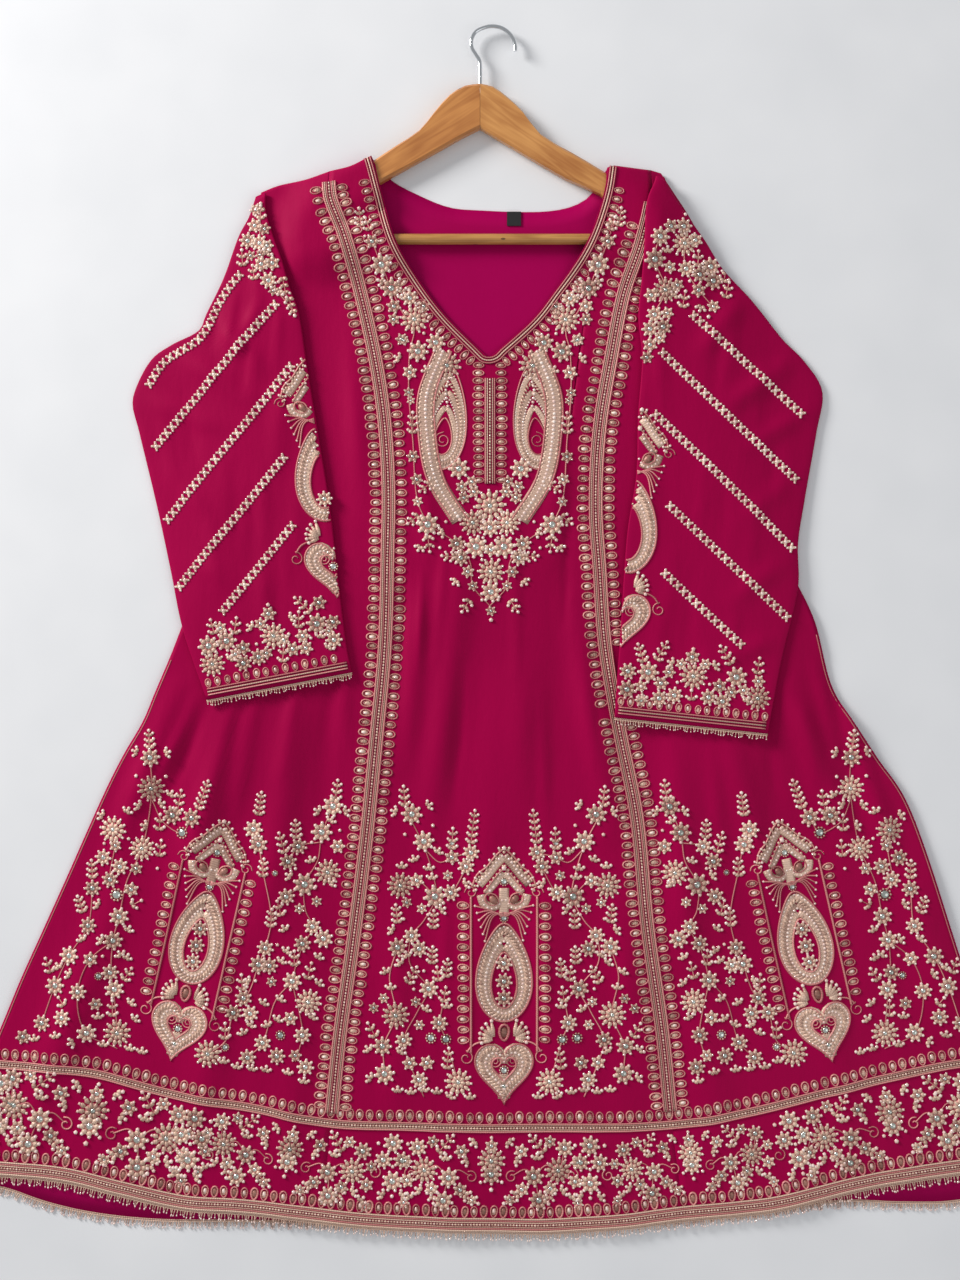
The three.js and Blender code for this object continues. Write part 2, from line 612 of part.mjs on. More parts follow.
// Back panel
const backShares = rowShares(BACK_ROWS, 3, UPPER_SHARE);
const backTop = [
  ...spread(SHOULDER_LEFT, BACK_SHOULDER_COLUMNS).slice(0, -1),
  ...spread(BACK_NECK, 12).slice(0, -1),
  ...spread(SHOULDER_RIGHT, BACK_SHOULDER_COLUMNS),
];
const backLeft = SIDE_LEFT.slice(0, -1).concat([[-581, -573]]);
const backRight = SIDE_RIGHT.slice(0, -1).concat([[580, -571]]);
const backPlan = patch(
  backTop,
  spread(BACK_HEM, backTop.length - 1),
  spreadAt(backLeft, backShares),
  spreadAt(backRight, backShares),
);
const backUnder = backPlan.map((row) => row.map(([x, y]) => [x, y, 0]));
const backOver = movedUp(backUnder, CLOTH);

// Front panels
const leftTop = spread(shoulderSplit(SHOULDER_LEFT, 0, 4), SIDE_COLUMNS);
const leftUnder = frontGrid(
  leftTop.map(([x, y], j) => [x - (j === SIDE_COLUMNS ? halfSeam : 0), y]),
  moved(spread(HEM_LEFT, SIDE_COLUMNS), -halfSeam),
  spreadAt(SIDE_LEFT, shares),
  moved(bandLeft, -halfSeam),
  () => true,
);
const rightTop = spread(shoulderSplit(SHOULDER_RIGHT, 2, 4), SIDE_COLUMNS);
const rightUnder = frontGrid(
  rightTop.map(([x, y], j) => [x + (j === 0 ? halfSeam : 0), y]),
  moved(spread(HEM_RIGHT, SIDE_COLUMNS), halfSeam),
  moved(bandRight, halfSeam),
  spreadAt(SIDE_RIGHT, shares),
  () => true,
);
const halfColumns = SHOULDER_COLUMNS + 1 + NECK_COLUMNS;
const centreLeftTop = [
  ...spread(shoulderSplit(SHOULDER_LEFT, 3, 6), SHOULDER_COLUMNS),
  ...spread(NECK_LEFT, NECK_COLUMNS),
];
const centreRightTop = [
  ...spread(NECK_RIGHT, NECK_COLUMNS),
  ...spread(shoulderSplit(SHOULDER_RIGHT, 0, 3), SHOULDER_COLUMNS),
];
const centreLeftUnder = frontGrid(
  centreLeftTop.map(([x, y], j) => [x + (j === 0 ? halfSeam : 0), y]),
  spread(HEM_CENTRE_LEFT, halfColumns).map(([x, y]) => [x + halfSeam, y]),
  moved(bandLeft, halfSeam),
  middle,
  (j) => j <= SHOULDER_COLUMNS,
);
const centreRightUnder = frontGrid(
  centreRightTop.map(([x, y], j) => [x - (j === halfColumns ? halfSeam : 0), y]),
  spread(HEM_CENTRE_RIGHT, halfColumns).map(([x, y]) => [x - halfSeam, y]),
  middle,
  moved(bandRight, -halfSeam),
  (j) => j > NECK_COLUMNS,
);
const centreUnder = centreLeftUnder.map((row, i) => {
  const twin = centreRightUnder[i];
  const joint = [row[row.length - 1][0], row[row.length - 1][1], Math.max(row[row.length - 1][2], twin[0][2])];
  return [...row.slice(0, -1), joint, ...twin.slice(1)];
});
const leftOver = movedOut(leftUnder, CLOTH);
const centreOver = movedOut(centreUnder, CLOTH);
const rightOver = movedOut(rightUnder, CLOTH);

// What the later pieces lie on
const backTerrain = new Terrain(25).add(backOver);
const frontTerrain = new Terrain(25)
  .add(leftOver, leftUnder).add(centreOver, centreUnder).add(rightOver, rightUnder);
const bodyTop = (x, y) => Math.max(backTerrain.height(x, y), frontTerrain.height(x, y));

// Braids of the body, laid before the sleeves are
const offsetLine = (line, distance) => stripGrid(line, distance).map((row) => row[0].slice(0, 2));
const neckLine = [...spread(NECK_LEFT, 14).slice(1), ...spread(NECK_RIGHT, 14).slice(1, -1)];
const bandPath = (table, start) =>
  spreadAt(table, Array.from({ length: 27 }, (_, k) => lerp(start, BAND_END, k / 26)));
const braids = [
  braid("neck_braid", offsetLine(neckLine, NECK_BRAID_INSET), WIDTHS.neck, bodyTop),
  braid("placket_braid", spread(PLACKET, 5), WIDTHS.placket, bodyTop),
  braid("band_braid_left", bandPath(BAND_LEFT, BAND_START.left), WIDTHS.band, bodyTop),
  braid("band_braid_right", bandPath(BAND_RIGHT, BAND_START.right), WIDTHS.band, bodyTop),
  braid("hem_braid_upper", spread(HEM_BRAID_UPPER, 40), WIDTHS.hemUpper, bodyTop),
  braid("hem_braid_lower", offsetLine(spread(HEM_LINE, 40), -HEM_BRAID_INSET), WIDTHS.hemLower, bodyTop),
];
const braidTerrain = new Terrain(20);
braids.forEach((piece) => braidTerrain.add(piece.top));
const dressedOrSurface = (x, y) => Math.max(bodyTop(x, y), braidTerrain.height(x, y), -LAID_GAP);

// Sleeves: sections from the shoulder to the cuff, each a flattened ring
function sleeve(name, outerEdge, innerEdge, folds, finish) {
  const outer = spread(outerEdge, SLEEVE_SECTIONS);
  const inner = spread(innerEdge, SLEEVE_SECTIONS);
  const under = outer.map((o, i) =>
    Array.from({ length: SLEEVE_ACROSS + 1 }, (_, j) => {
      const u = j / SLEEVE_ACROSS;
      return [lerp(o[0], inner[i][0], u), lerp(o[1], inner[i][1], u), 0];
    }),
  );
  lay(under, dressedOrSurface, LAID_GAP, 0, () => true);
  const height = (u, x, y) =>
    SLEEVE_HEIGHT + SLEEVE_SWELL * smooth(Math.min(u, 1 - u) * 4) + foldHeight(folds, x, y);
  const over = under.map((row) =>
    row.map(([x, y, z], j) => [x, y, z + height(j / SLEEVE_ACROSS, x, y)]),
  );
  // One section: along the lower wall, round the fold, back along the upper wall, round the other fold
  const ring = (i, inset, low, high) => {
    const first = under[i][0];
    const last = under[i][SLEEVE_ACROSS];
    const width = Math.hypot(last[0] - first[0], last[1] - first[1]);
    const across = [(last[0] - first[0]) / width, (last[1] - first[1]) / width];
    const trim = inset / width;
    const sample = (row, j, dz) => {
      const u = lerp(trim, 1 - trim, j / SLEEVE_ACROSS) * SLEEVE_ACROSS;
      const k = Math.min(SLEEVE_ACROSS - 1, Math.floor(u));
      const p = row[k].map((value, axis) => lerp(value, row[k + 1][axis], u - k));
      return [p[0], p[1], p[2] + dz];
    };
    const bulge = (row, side) => {
      const j = side > 0 ? SLEEVE_ACROSS : 0;
      const a = sample(under[i], j, low);
      const b = sample(row, j, high);
      return [
        a[0] + side * across[0] * SLEEVE_ROUND,
        a[1] + side * across[1] * SLEEVE_ROUND,
        (a[2] + b[2]) / 2,
      ];
    };
    const steps = Array.from({ length: SLEEVE_ACROSS + 1 }, (_, j) => j);
    return [
      ...steps.map((j) => sample(under[i], j, low)),
      bulge(over[i], 1),
      ...steps.reverse().map((j) => sample(over[i], j, high)),
      bulge(over[i], -1),
    ];
  };
  const outerRings = under.map((_, i) => ring(i, 0, 0, 0));
  const innerRings = under.map((_, i) => ring(i, CLOTH, CLOTH, -CLOTH));
  return { mesh: openTube(name, outerRings, innerRings, finish), under, over };
}
const leftSleeve = sleeve("sleeve_left", SLEEVE_LEFT_OUTER, SLEEVE_LEFT_INNER, SLEEVE_LEFT_FOLDS, FINISH.cloth);
const rightSleeve = sleeve("sleeve_right", SLEEVE_RIGHT_OUTER, SLEEVE_RIGHT_INNER, SLEEVE_RIGHT_FOLDS, FINISH.cloth);

// Braids and lace of one cuff
function cuffTrim(side, made) {
  const rows = made.under.length;
  const outerEnd = made.under[rows - 1][0];
  const innerEnd = made.under[rows - 1][SLEEVE_ACROSS];
  const width = Math.hypot(innerEnd[0] - outerEnd[0], innerEnd[1] - outerEnd[1]);
  const along = minus(innerEnd, outerEnd).map((value) => value / width);
  const back = made.under[rows - 2][SLEEVE_ACROSS / 2];
  const flip = along[0] * (back[1] - outerEnd[1]) - along[1] * (back[0] - outerEnd[0]) > 0 ? 1 : -1;
  const up = [-along[1] * flip, along[0] * flip];
  const at = (s, out) => [outerEnd[0] + along[0] * s - up[0] * out, outerEnd[1] + along[1] * s - up[1] * out];
  const top = new Terrain(20).add(made.over);
  const margin = 3;
  const path = Array.from({ length: 11 }, (_, k) => at(lerp(margin, width - margin, k / 10), -CUFF_BRAID_INSET));
  const braidMesh = braid(`cuff_braid_${side}`, path, WIDTHS.cuff, (x, y) => top.height(x, y)).mesh;
  const teeth = 24;
  const grid = Array.from({ length: teeth + 1 }, (_, k) => {
    const s = lerp(1.5, width - 1.5, k / teeth);
    const u = (s / width) * SLEEVE_ACROSS;
    const j = Math.min(SLEEVE_ACROSS - 1, Math.floor(u));
    const end = made.under[rows - 1];
    const level = lerp(end[j][2], end[j + 1][2], u - j) + CLOTH;
    return [[...at(s, LACE_GAP), level], [...at(s, k % 2 === 0 ? TOOTH_LONG : TOOTH_SHORT), 0]];
  });
  settle(grid, dressedOrSurface, SEAM * 2);
  const laceMesh = wall(`cuff_lace_${side}`, grid, movedUp(grid, LACE), FINISH.lace);
  return [braidMesh, laceMesh];
}

// Hanger: arms of eight-sided section, round bar, bent wire hook
function arm(name, table) {
  const edge = (from) => new THREE.CatmullRomCurve3(
    table.map((row) => new THREE.Vector3(row[from], row[from + 1], 0)), false, "centripetal",
  );
  const [upper, lower] = [edge(0), edge(2)];
  const rings = Array.from({ length: ARM_SECTIONS + 1 }, (_, i) => {
    const [{ x: ux, y: uy }, { x: lx, y: ly }] = [upper, lower].map((line) => line.getPoint(i / ARM_SECTIONS));
    const width = Math.hypot(lx - ux, ly - uy);
    const end = i === ARM_SECTIONS ? WOOD_CHAMFER : 0;
    const [low, high] = [WOOD_LOW + end, WOOD_HIGH - end];
    const c = WOOD_CHAMFER;
    const section = [
      [0, low + c], [c, low], [width - c, low], [width, low + c],
      [width, high - c], [width - c, high], [c, high], [0, high - c],
    ];
    return section.map(([s, z]) => [lerp(ux, lx, s / width), lerp(uy, ly, s / width), z]);
  });
  return loft(name, rings, FINISH.wood);
}
const midWood = (WOOD_LOW + WOOD_HIGH) / 2;
const barRings = [BAR.from + SEAM, BAR.to - SEAM].map((x) =>
  Array.from({ length: BAR_SIDES }, (_, k) => {
    const angle = (2 * Math.PI * k) / BAR_SIDES;
    return [x, BAR.y + BAR_RADIUS * Math.cos(angle), midWood + BAR_RADIUS * Math.sin(angle)];
  }),
);
const hookPath = spread(HOOK, HOOK_SECTIONS);
const hookRings = hookPath.map(([x, y], i) => {
  const before = hookPath[Math.max(0, i - 1)];
  const after = hookPath[Math.min(HOOK_SECTIONS, i + 1)];
  const length = Math.hypot(after[0] - before[0], after[1] - before[1]);
  const side = [-(after[1] - before[1]) / length, (after[0] - before[0]) / length];
  return Array.from({ length: HOOK_SIDES }, (_, k) => {
    const angle = (2 * Math.PI * k) / HOOK_SIDES;
    const out = WIRE_RADIUS * Math.cos(angle);
    return [x + side[0] * out, y + side[1] * out, midWood + WIRE_RADIUS * Math.sin(angle)];
  });
});

// Neck label on the inside of the back
const labelBase = BACK_TOP + SEAM;
const labelGrid = [0.5, -0.5].map((v) =>
  [-0.5, 0.5].map((u) => [LABEL.x + u * LABEL.wide, LABEL.y + v * LABEL.tall, labelBase]),
);

// Lace of the front hem and of the back hem
const lastRow = (grid) => grid[grid.length - 1];
const frontHem = [...lastRow(leftUnder), ...lastRow(centreUnder), ...lastRow(rightUnder)];
const hiddenHem = (x) => Math.abs(x) < BACK_LACE_HIDDEN;
const backSteps = (a, b) => (hiddenHem(a[0]) && hiddenHem(b[0]) ? 2 : 6);
const frontSteps = (a, b) => Math.max(1, 2 * Math.round((b[0] - a[0]) / LACE_PITCH));
const backLaceGrid = laceGrid(cutUp(lastRow(backUnder), backSteps), () => SEAM / 2, (x) => !hiddenHem(x));
backLaceGrid.forEach((row) => row.forEach((p) => {
  p[2] = SEAM / 2;
}));
const backLaceTop = movedUp(backLaceGrid, LACE);
const laceTerrain = new Terrain(25).add(backLaceTop).add(backOver);
const frontLaceGrid = laceGrid(cutUp(frontHem, frontSteps), frontUnderside, () => true);
settle(frontLaceGrid, (x, y) => Math.max(laceTerrain.height(x, y), SEAM), SEAM);

const kurta = new THREE.Group();
kurta.name = "kurta_on_hanger";
kurta.add(
  wall("back", backUnder, backOver, FINISH.clothInside),
  wall("front_left", leftUnder, leftOver, FINISH.cloth),
  wall("front_centre", centreUnder, centreOver, FINISH.cloth),
  wall("front_right", rightUnder, rightOver, FINISH.cloth),
  leftSleeve.mesh,
  rightSleeve.mesh,
  ...cuffTrim("left", leftSleeve),
  ...cuffTrim("right", rightSleeve),
  ...braids.map((piece) => piece.mesh),
  wall("hem_lace_front", frontLaceGrid, movedUp(frontLaceGrid, LACE), FINISH.lace),
  wall("hem_lace_back", backLaceGrid, backLaceTop, FINISH.lace),
  wall("neck_label", labelGrid, movedUp(labelGrid, LABEL.thick), FINISH.label),
  arm("hanger_arm_left", ARM_LEFT),
  arm("hanger_arm_right", ARM_RIGHT),
  loft("hanger_bar", barRings, FINISH.wood),
  loft("hanger_hook", hookRings, FINISH.wire),
);

// Origin at the middle of the footprint, on the surface that the kurta lies on
const bounds = new THREE.Box3().setFromObject(kurta);
const centre = bounds.getCenter(new THREE.Vector3());
kurta.children.forEach((mesh) => mesh.geometry.translate(-centre.x, -centre.y, -bounds.min.z));

export default kurta;
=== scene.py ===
"""The looks of a long embroidered kurta, laid on its back with a wooden hanger in its shoulders.

Metres: +X to the right as seen from above, +Y towards the neck, +Z up from the surface.
"""

import logging
import math
from dataclasses import dataclass, field
from enum import Enum, IntEnum
from typing import Callable, Sequence

import bmesh
import bpy
import numpy as np
from mathutils import Matrix, Vector

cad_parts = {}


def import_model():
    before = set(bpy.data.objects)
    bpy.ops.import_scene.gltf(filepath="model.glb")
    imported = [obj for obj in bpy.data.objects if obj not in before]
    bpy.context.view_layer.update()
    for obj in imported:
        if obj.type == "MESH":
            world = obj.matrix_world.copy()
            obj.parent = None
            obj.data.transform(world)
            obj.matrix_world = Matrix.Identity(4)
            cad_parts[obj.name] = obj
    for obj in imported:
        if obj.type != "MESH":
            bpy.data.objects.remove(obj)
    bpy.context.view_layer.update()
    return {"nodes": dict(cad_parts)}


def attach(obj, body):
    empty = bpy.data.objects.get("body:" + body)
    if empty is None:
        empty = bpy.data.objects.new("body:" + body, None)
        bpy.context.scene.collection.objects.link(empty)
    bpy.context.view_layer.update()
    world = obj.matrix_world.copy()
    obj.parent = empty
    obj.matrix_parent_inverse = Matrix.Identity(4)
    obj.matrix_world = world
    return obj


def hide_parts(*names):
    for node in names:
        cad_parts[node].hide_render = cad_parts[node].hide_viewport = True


logging.basicConfig(level=logging.INFO, format="%(message)s")
LOG = logging.getLogger("kurta")

Rows = Sequence[Sequence[float]]
Size = tuple[float, float, float]
Values = np.ndarray | float

MM = 0.001
UNIT = 1.05 * MM  # one unit of the drafting plan
PLAN_CORNER = np.array((485.0, 634.0))  # plan units from the plan's upper left corner to the cut's origin
CUT_SHIFT = np.array((-0.45 * MM, -1.1 * MM))  # from the cut's origin to the frame's

BACK_LIFT = 0.1 * MM
BACK_CLOTH = 1.1 * MM
FRONT_REST = 1.5 * MM
CLOTH = 0.9 * MM
HANGER_TOP = 13.6 * MM
HANGER_CLEAR = 0.9 * MM
HANGER_REACH = 44 * MM
SEED = 11


# The cut of the cloth: x and y in millimetres of the cut
SHOULDER_LEFT_SIDE = [[-234, 463], [-216, 470], [-187, 476], [-162, 484]]
SHOULDER_LEFT_CENTRE = [[-162, 484], [-140, 489], [-119, 499.5]]
SHOULDER_RIGHT_CENTRE = [[129, 490], [152, 488], [174, 486]]
SHOULDER_RIGHT_SIDE = [[174, 486], [184, 483]]
SHOULDERS = (SHOULDER_LEFT_SIDE, SHOULDER_LEFT_CENTRE, SHOULDER_RIGHT_CENTRE, SHOULDER_RIGHT_SIDE)
NECK_LEFT = [[-117.6, 497], [-114, 485], [-108, 462], [-92, 408], [-70, 372], [-43, 336], [4, 289]]
NECK_RIGHT = [[4, 289], [51, 332], [72, 359], [105, 406], [124, 460], [127, 477], [128.4, 487.5]]
BACK_NECK = [
    [-119, 499.5], [-99, 477], [-70, 461], [-37, 448], [-6, 445], [66, 444], [94, 450], [110, 460],
    [129, 490],
]
SIDE_LEFT = [
    [-234, 463], [-251, 414], [-261, 351], [-266, 288], [-259, 235], [-276, 162], [-291, 78], [-319, 5],
    [-329, -21], [-346, -62], [-358, -91], [-379, -127], [-396, -160], [-441, -260], [-464, -311],
    [-486, -360], [-507, -411], [-541, -489], [-578, -565],
]
SIDE_RIGHT = [
    [184, 483], [226, 414], [251, 340], [264, 277], [261, 235], [280, 162], [301, 99], [328, 51], [345, 15],
    [364, -56], [384, -90], [411, -130], [441, -174], [499, -342], [545, -479], [576, -561],
]
BAND_LEFT = [
    [-162, 484], [-162, 459], [-146, 414], [-129, 352], [-113, 278], [-105, 220], [-101, 150], [-102, 85],
    [-105, -14], [-113, -101], [-125, -219], [-139, -329], [-152, -420], [-161, -506], [-171, -616],
]
BAND_RIGHT = [
    [174, 486], [174, 459], [162, 406], [146, 359], [133, 294], [120, 214], [116, 133], [120, 69],
    [126, -14], [141, -101], [159, -192], [170, -306], [186, -420], [195, -506], [209, -614],
]
HEM_LEFT = [[-578, -565], [-509, -567], [-445, -573], [-381, -588], [-319, -602], [-258, -606], [-171, -616]]
HEM_CENTRE_LEFT = [[-171, -616], [-110, -622], [4, -626]]
HEM_CENTRE_RIGHT = [[4, -626], [61, -627], [142, -622], [209, -614]]
HEM_RIGHT = [[209, -614], [295, -605], [348, -593], [400, -581], [499, -565], [576, -561]]
BACK_HEM = [
    [-581, -573], [-509, -580], [-461, -596], [-413, -607], [-349, -614], [-258, -615], [-110, -617],
    [61, -618], [209, -611], [295, -603], [379, -594], [436, -596], [499, -594], [580, -571],
]
SLEEVE_LEFT_OUTER = [
    [-240, 457], [-247, 436], [-257, 418], [-274, 372], [-293, 333], [-299, 319], [-329, 303], [-349, 289],
    [-366, 259], [-370, 242], [-363, 212], [-343, 129], [-329, 64], [-317, 7], [-291, -69],
]
SLEEVE_LEFT_INNER = [
    [-229, 461], [-229, 444], [-222, 419], [-211, 388], [-205, 366], [-195, 338], [-186, 281],
    [-174, 208], [-162, 133], [-152, 47], [-144, -15], [-139, -40],
]
SLEEVE_RIGHT_OUTER = [
    [187, 476], [194, 461], [212, 435], [230, 411], [248, 383], [278, 351], [289, 338], [313, 308],
    [335, 286], [354, 255], [348, 212], [335, 139], [328, 94], [328, 51], [310, -28], [295, -104],
]
SLEEVE_RIGHT_INNER = [
    [178, 477], [176, 470], [168, 450], [165, 403], [163, 369], [160, 332], [164, 288], [160, 230],
    [158, 166], [149, 108], [141, -4], [135, -87],
]
HEM_LINE = [
    [-569, -565.2], *HEM_LEFT[1:], *HEM_CENTRE_LEFT[1:], *HEM_CENTRE_RIGHT[1:], *HEM_RIGHT[1:-1],
    [565, -561.3],
]
HEM_UPPER = [
    [-519, -450], [-418, -459], [-328, -482], [-236, -498], [-163, -512.4], [-89, -515.6], [-8, -517.6],
    [86, -517.6], [195, -514.5], [268, -503], [359, -480], [450, -459], [499, -449.5], [528, -447.5],
]
PLACKET = [[5.2, 268], [5.2, 157.5]]

# Creases: from x, y to x, y, half width, height; a trough has a height below nought
FRONT_CREASES = [
    [-24, 78, -58, -206, 16, 2.2], [-68, 36, -81, -132, 12, 1.6], [42, -6, 37, -206, 18, 1.8],
    [91, 36, 133, -206, 14, 2.4], [14, -59, -16, -426, 20, 1.5], [63, -237, 79, -479, 18, 1.6],
    [-89, -279, -94, -500, 16, 1.4], [-194, -69, -234, -311, 18, 2.4], [-261, -75, -322, -279, 16, 2.6],
    [-324, -59, -392, -237, 14, 2.4], [-362, -206, -467, -479, 22, 1.8], [-268, -311, -303, -542, 22, 1.8],
    [-194, -342, -205, -573, 18, 1.5], [-415, -363, -488, -542, 20, 1.4], [196, -111, 215, -342, 16, 2.2],
    [259, -117, 306, -300, 15, 2.6], [320, -59, 379, -206, 14, 2.8], [371, -59, 425, -227, 11, 2.8],
    [331, -311, 383, -510, 20, 1.8], [441, -248, 499, -437, 18, 1.6], [226, -374, 243, -573, 18, 1.5],
    [142, -279, 159, -447, 14, 1.4], [-68, 193, -56, 78, 12, 1.2], [79, 225, 70, 78, 12, 1.2],
    [-142, 330, -129, 120, 12, 1.3], [-47, -521, -39, -610, 16, 1.2], [110, -510, 121, -600, 16, 1.2],
    [-84, 60, -90, -70, 5, -1.1], [-66, 62, -70, -40, 4.5, 0.9], [-40, 110, -52, -30, 5, 0.8],
    [-292, -75, -332, -170, 6, -1.2], [-305, -70, -349, -172, 6, 1.2], [-238, -60, -262, -190, 6, 1.0],
    [-252, -60, -280, -178, 5, -1.0], [-196, -44, -214, -150, 6, 0.9], [345, -30, 372, -140, 5, 1.2],
    [356, -24, 388, -138, 4.5, -1.1], [330, -80, 352, -190, 6, 1.0], [290, -60, 306, -178, 6, -0.9],
    [236, -118, 250, -240, 6, 0.9], [30, 150, 33, -40, 5, 0.7], [88, 140, 84, 10, 5, -0.7],
    [-22, -30, -34, -180, 6, -0.8], [60, -60, 64, -230, 6, 0.8], [110, -20, 124, -150, 6, -0.9],
    [-226, 430, -214, 300, 6, 0.8], [-214, 440, -202, 330, 5, -0.7], [205, 440, 222, 400, 6, 0.8],
    [-150, 60, -146, -120, 6, 0.9], [-160, -20, -172, -200, 6, -0.8], [150, 30, 166, -90, 6, 0.7],
    [-70, 465, -74, 440, 4, 0.4], [60, -300, 66, -420, 7, 0.8], [-40, -260, -44, -420, 7, 0.8],
]
SLEEVE_LEFT_CREASES = [
    [-285, 332, -234, 275, 10, 2.2], [-322, 296, -247, 242, 10, 2.4], [-352, 246, -276, 214, 9, 1.6],
    [-234, 351, -257, 296, 8, 1.6], [-209, 267, -219, 172, 9, 1.4], [-331, 172, -285, 120, 10, 1.4],
    [-194, 172, -198, 78, 9, 1.2], [-303, 78, -257, 46, 9, 1.3], [-234, 78, -226, -6, 10, 1.2],
    [-266, 25, -251, -48, 9, 1.1], [-228, 424, -240, 351, 7, 1.2],
    [-276, 356, -285, 300, 4, -1.2], [-262, 352, -272, 282, 4, 0.9], [-246, 322, -258, 250, 4, -1.0],
    [-240, 300, -243, 230, 4, 0.8], [-214, 340, -220, 262, 3.5, 0.8], [-262, 180, -258, 96, 4.5, -0.9],
    [-234, 176, -228, 96, 4, 0.8], [-246, 150, -240, 60, 4, -0.8], [-212, 116, -204, 30, 4, 0.7],
    [-290, 130, -276, 40, 5, 0.8], [-222, 60, -214, -20, 4, -0.8], [-196, 60, -188, -10, 4, 0.6],
    [-318, 250, -300, 170, 5, -0.8], [-340, 240, -326, 160, 5, 0.7],
]
SLEEVE_RIGHT_CREASES = [
    [270, 351, 226, 296, 10, 2.2], [322, 288, 251, 235, 10, 2.4], [343, 235, 276, 197, 9, 1.8],
    [219, 395, 226, 338, 8, 1.4], [180, 319, 184, 235, 8, 1.3], [320, 162, 272, 120, 10, 1.5],
    [173, 193, 171, 99, 9, 1.3], [318, 78, 257, 36, 10, 1.6], [306, -6, 243, -27, 9, 1.8],
    [184, 36, 177, -59, 9, 1.2], [232, -6, 226, -80, 9, 1.2],
    [262, 330, 250, 250, 4, 0.8], [246, 320, 236, 246, 4, -0.8], [290, 290, 280, 210, 5, 0.8],
    [228, 180, 224, 100, 4, 0.8], [250, 170, 246, 90, 4.5, -0.8], [282, 130, 272, 30, 5, 0.7],
    [216, 70, 212, -20, 4, -0.7], [196, 90, 192, 10, 4, 0.7], [306, 210, 296, 130, 5, -0.7],
    [262, 40, 256, -50, 4, 0.7], [170, 300, 176, 220, 4, -0.6],
]

ARM_LEFT = [
    [-5.4, 574.4, -5.4, 528.1], [-21, 572.2, -24.2, 518.7], [-36.8, 562.8, -41, 509.2],
    [-53.6, 543.9, -57.8, 499.8], [-68.2, 526.1, -76.7, 489.3], [-93.5, 509.2, -91.4, 480.9],
    [-116.2, 494.2, -110.2, 470.4], [-147, 473.6, -138.6, 452.6], [-171.2, 453.6, -156.5, 434.7],
    [-184.8, 432.6, -164.8, 420], [-189, 413.7, -168, 406.4], [-185.8, 402.2, -171.2, 401.1],
]
ARM_RIGHT = [
    [-5.1, 574.4, -5.1, 528.1], [8.4, 571.2, 12.6, 517.6], [23.1, 560.7, 28.4, 508.2],
    [38.9, 546, 45.1, 498.2], [57.8, 521.9, 64, 487.2], [91.4, 501.9, 85, 475.1],
    [124, 482.5, 120.8, 458.9], [143.8, 468.3, 132.3, 446.2], [162.8, 450.5, 148.1, 430.5],
    [175.3, 430.5, 156.5, 416.9], [178.5, 412.7, 158.6, 404.2], [175.3, 401.1, 162.8, 399],
]
BAR_LINE = [[-164.6, 413], [154.6, 413]]
BAR_RADIUS = 5.5 * MM
HOOK = [
    [-5.2, 572.0], [-5.2, 592.2], [-5.8, 599.6], [-9.5, 605.9], [-13.7, 613.2], [-14.2, 621.6], [-9.5, 630],
    [-1.1, 634.2], [7.4, 635.8], [16.8, 634.2], [24.2, 629.5], [29.4, 622.6], [31.5, 615.3], [31.5, 610.1],
]


def from_cut(rows: Rows) -> np.ndarray:
    """Turns a table of the cut, in millimetres, into plan points in metres."""
    return np.asarray([row[:2] for row in rows], float) * MM + CUT_SHIFT


def from_plan(rows: Rows) -> np.ndarray:
    """Turns plan units, x to the right and y downwards, into plan points in metres."""
    points = np.asarray([row[:2] for row in rows], float) - PLAN_CORNER
    return points * (UNIT, -UNIT) + CUT_SHIFT


def square_to(along: np.ndarray) -> np.ndarray:
    """Turns directions a quarter turn to the left."""
    return np.column_stack((-along[:, 1], along[:, 0]))


def smooth(share: np.ndarray) -> np.ndarray:
    """Eases a share from nought to one."""
    held = np.clip(share, 0.0, 1.0)
    return held * held * (3 - 2 * held)


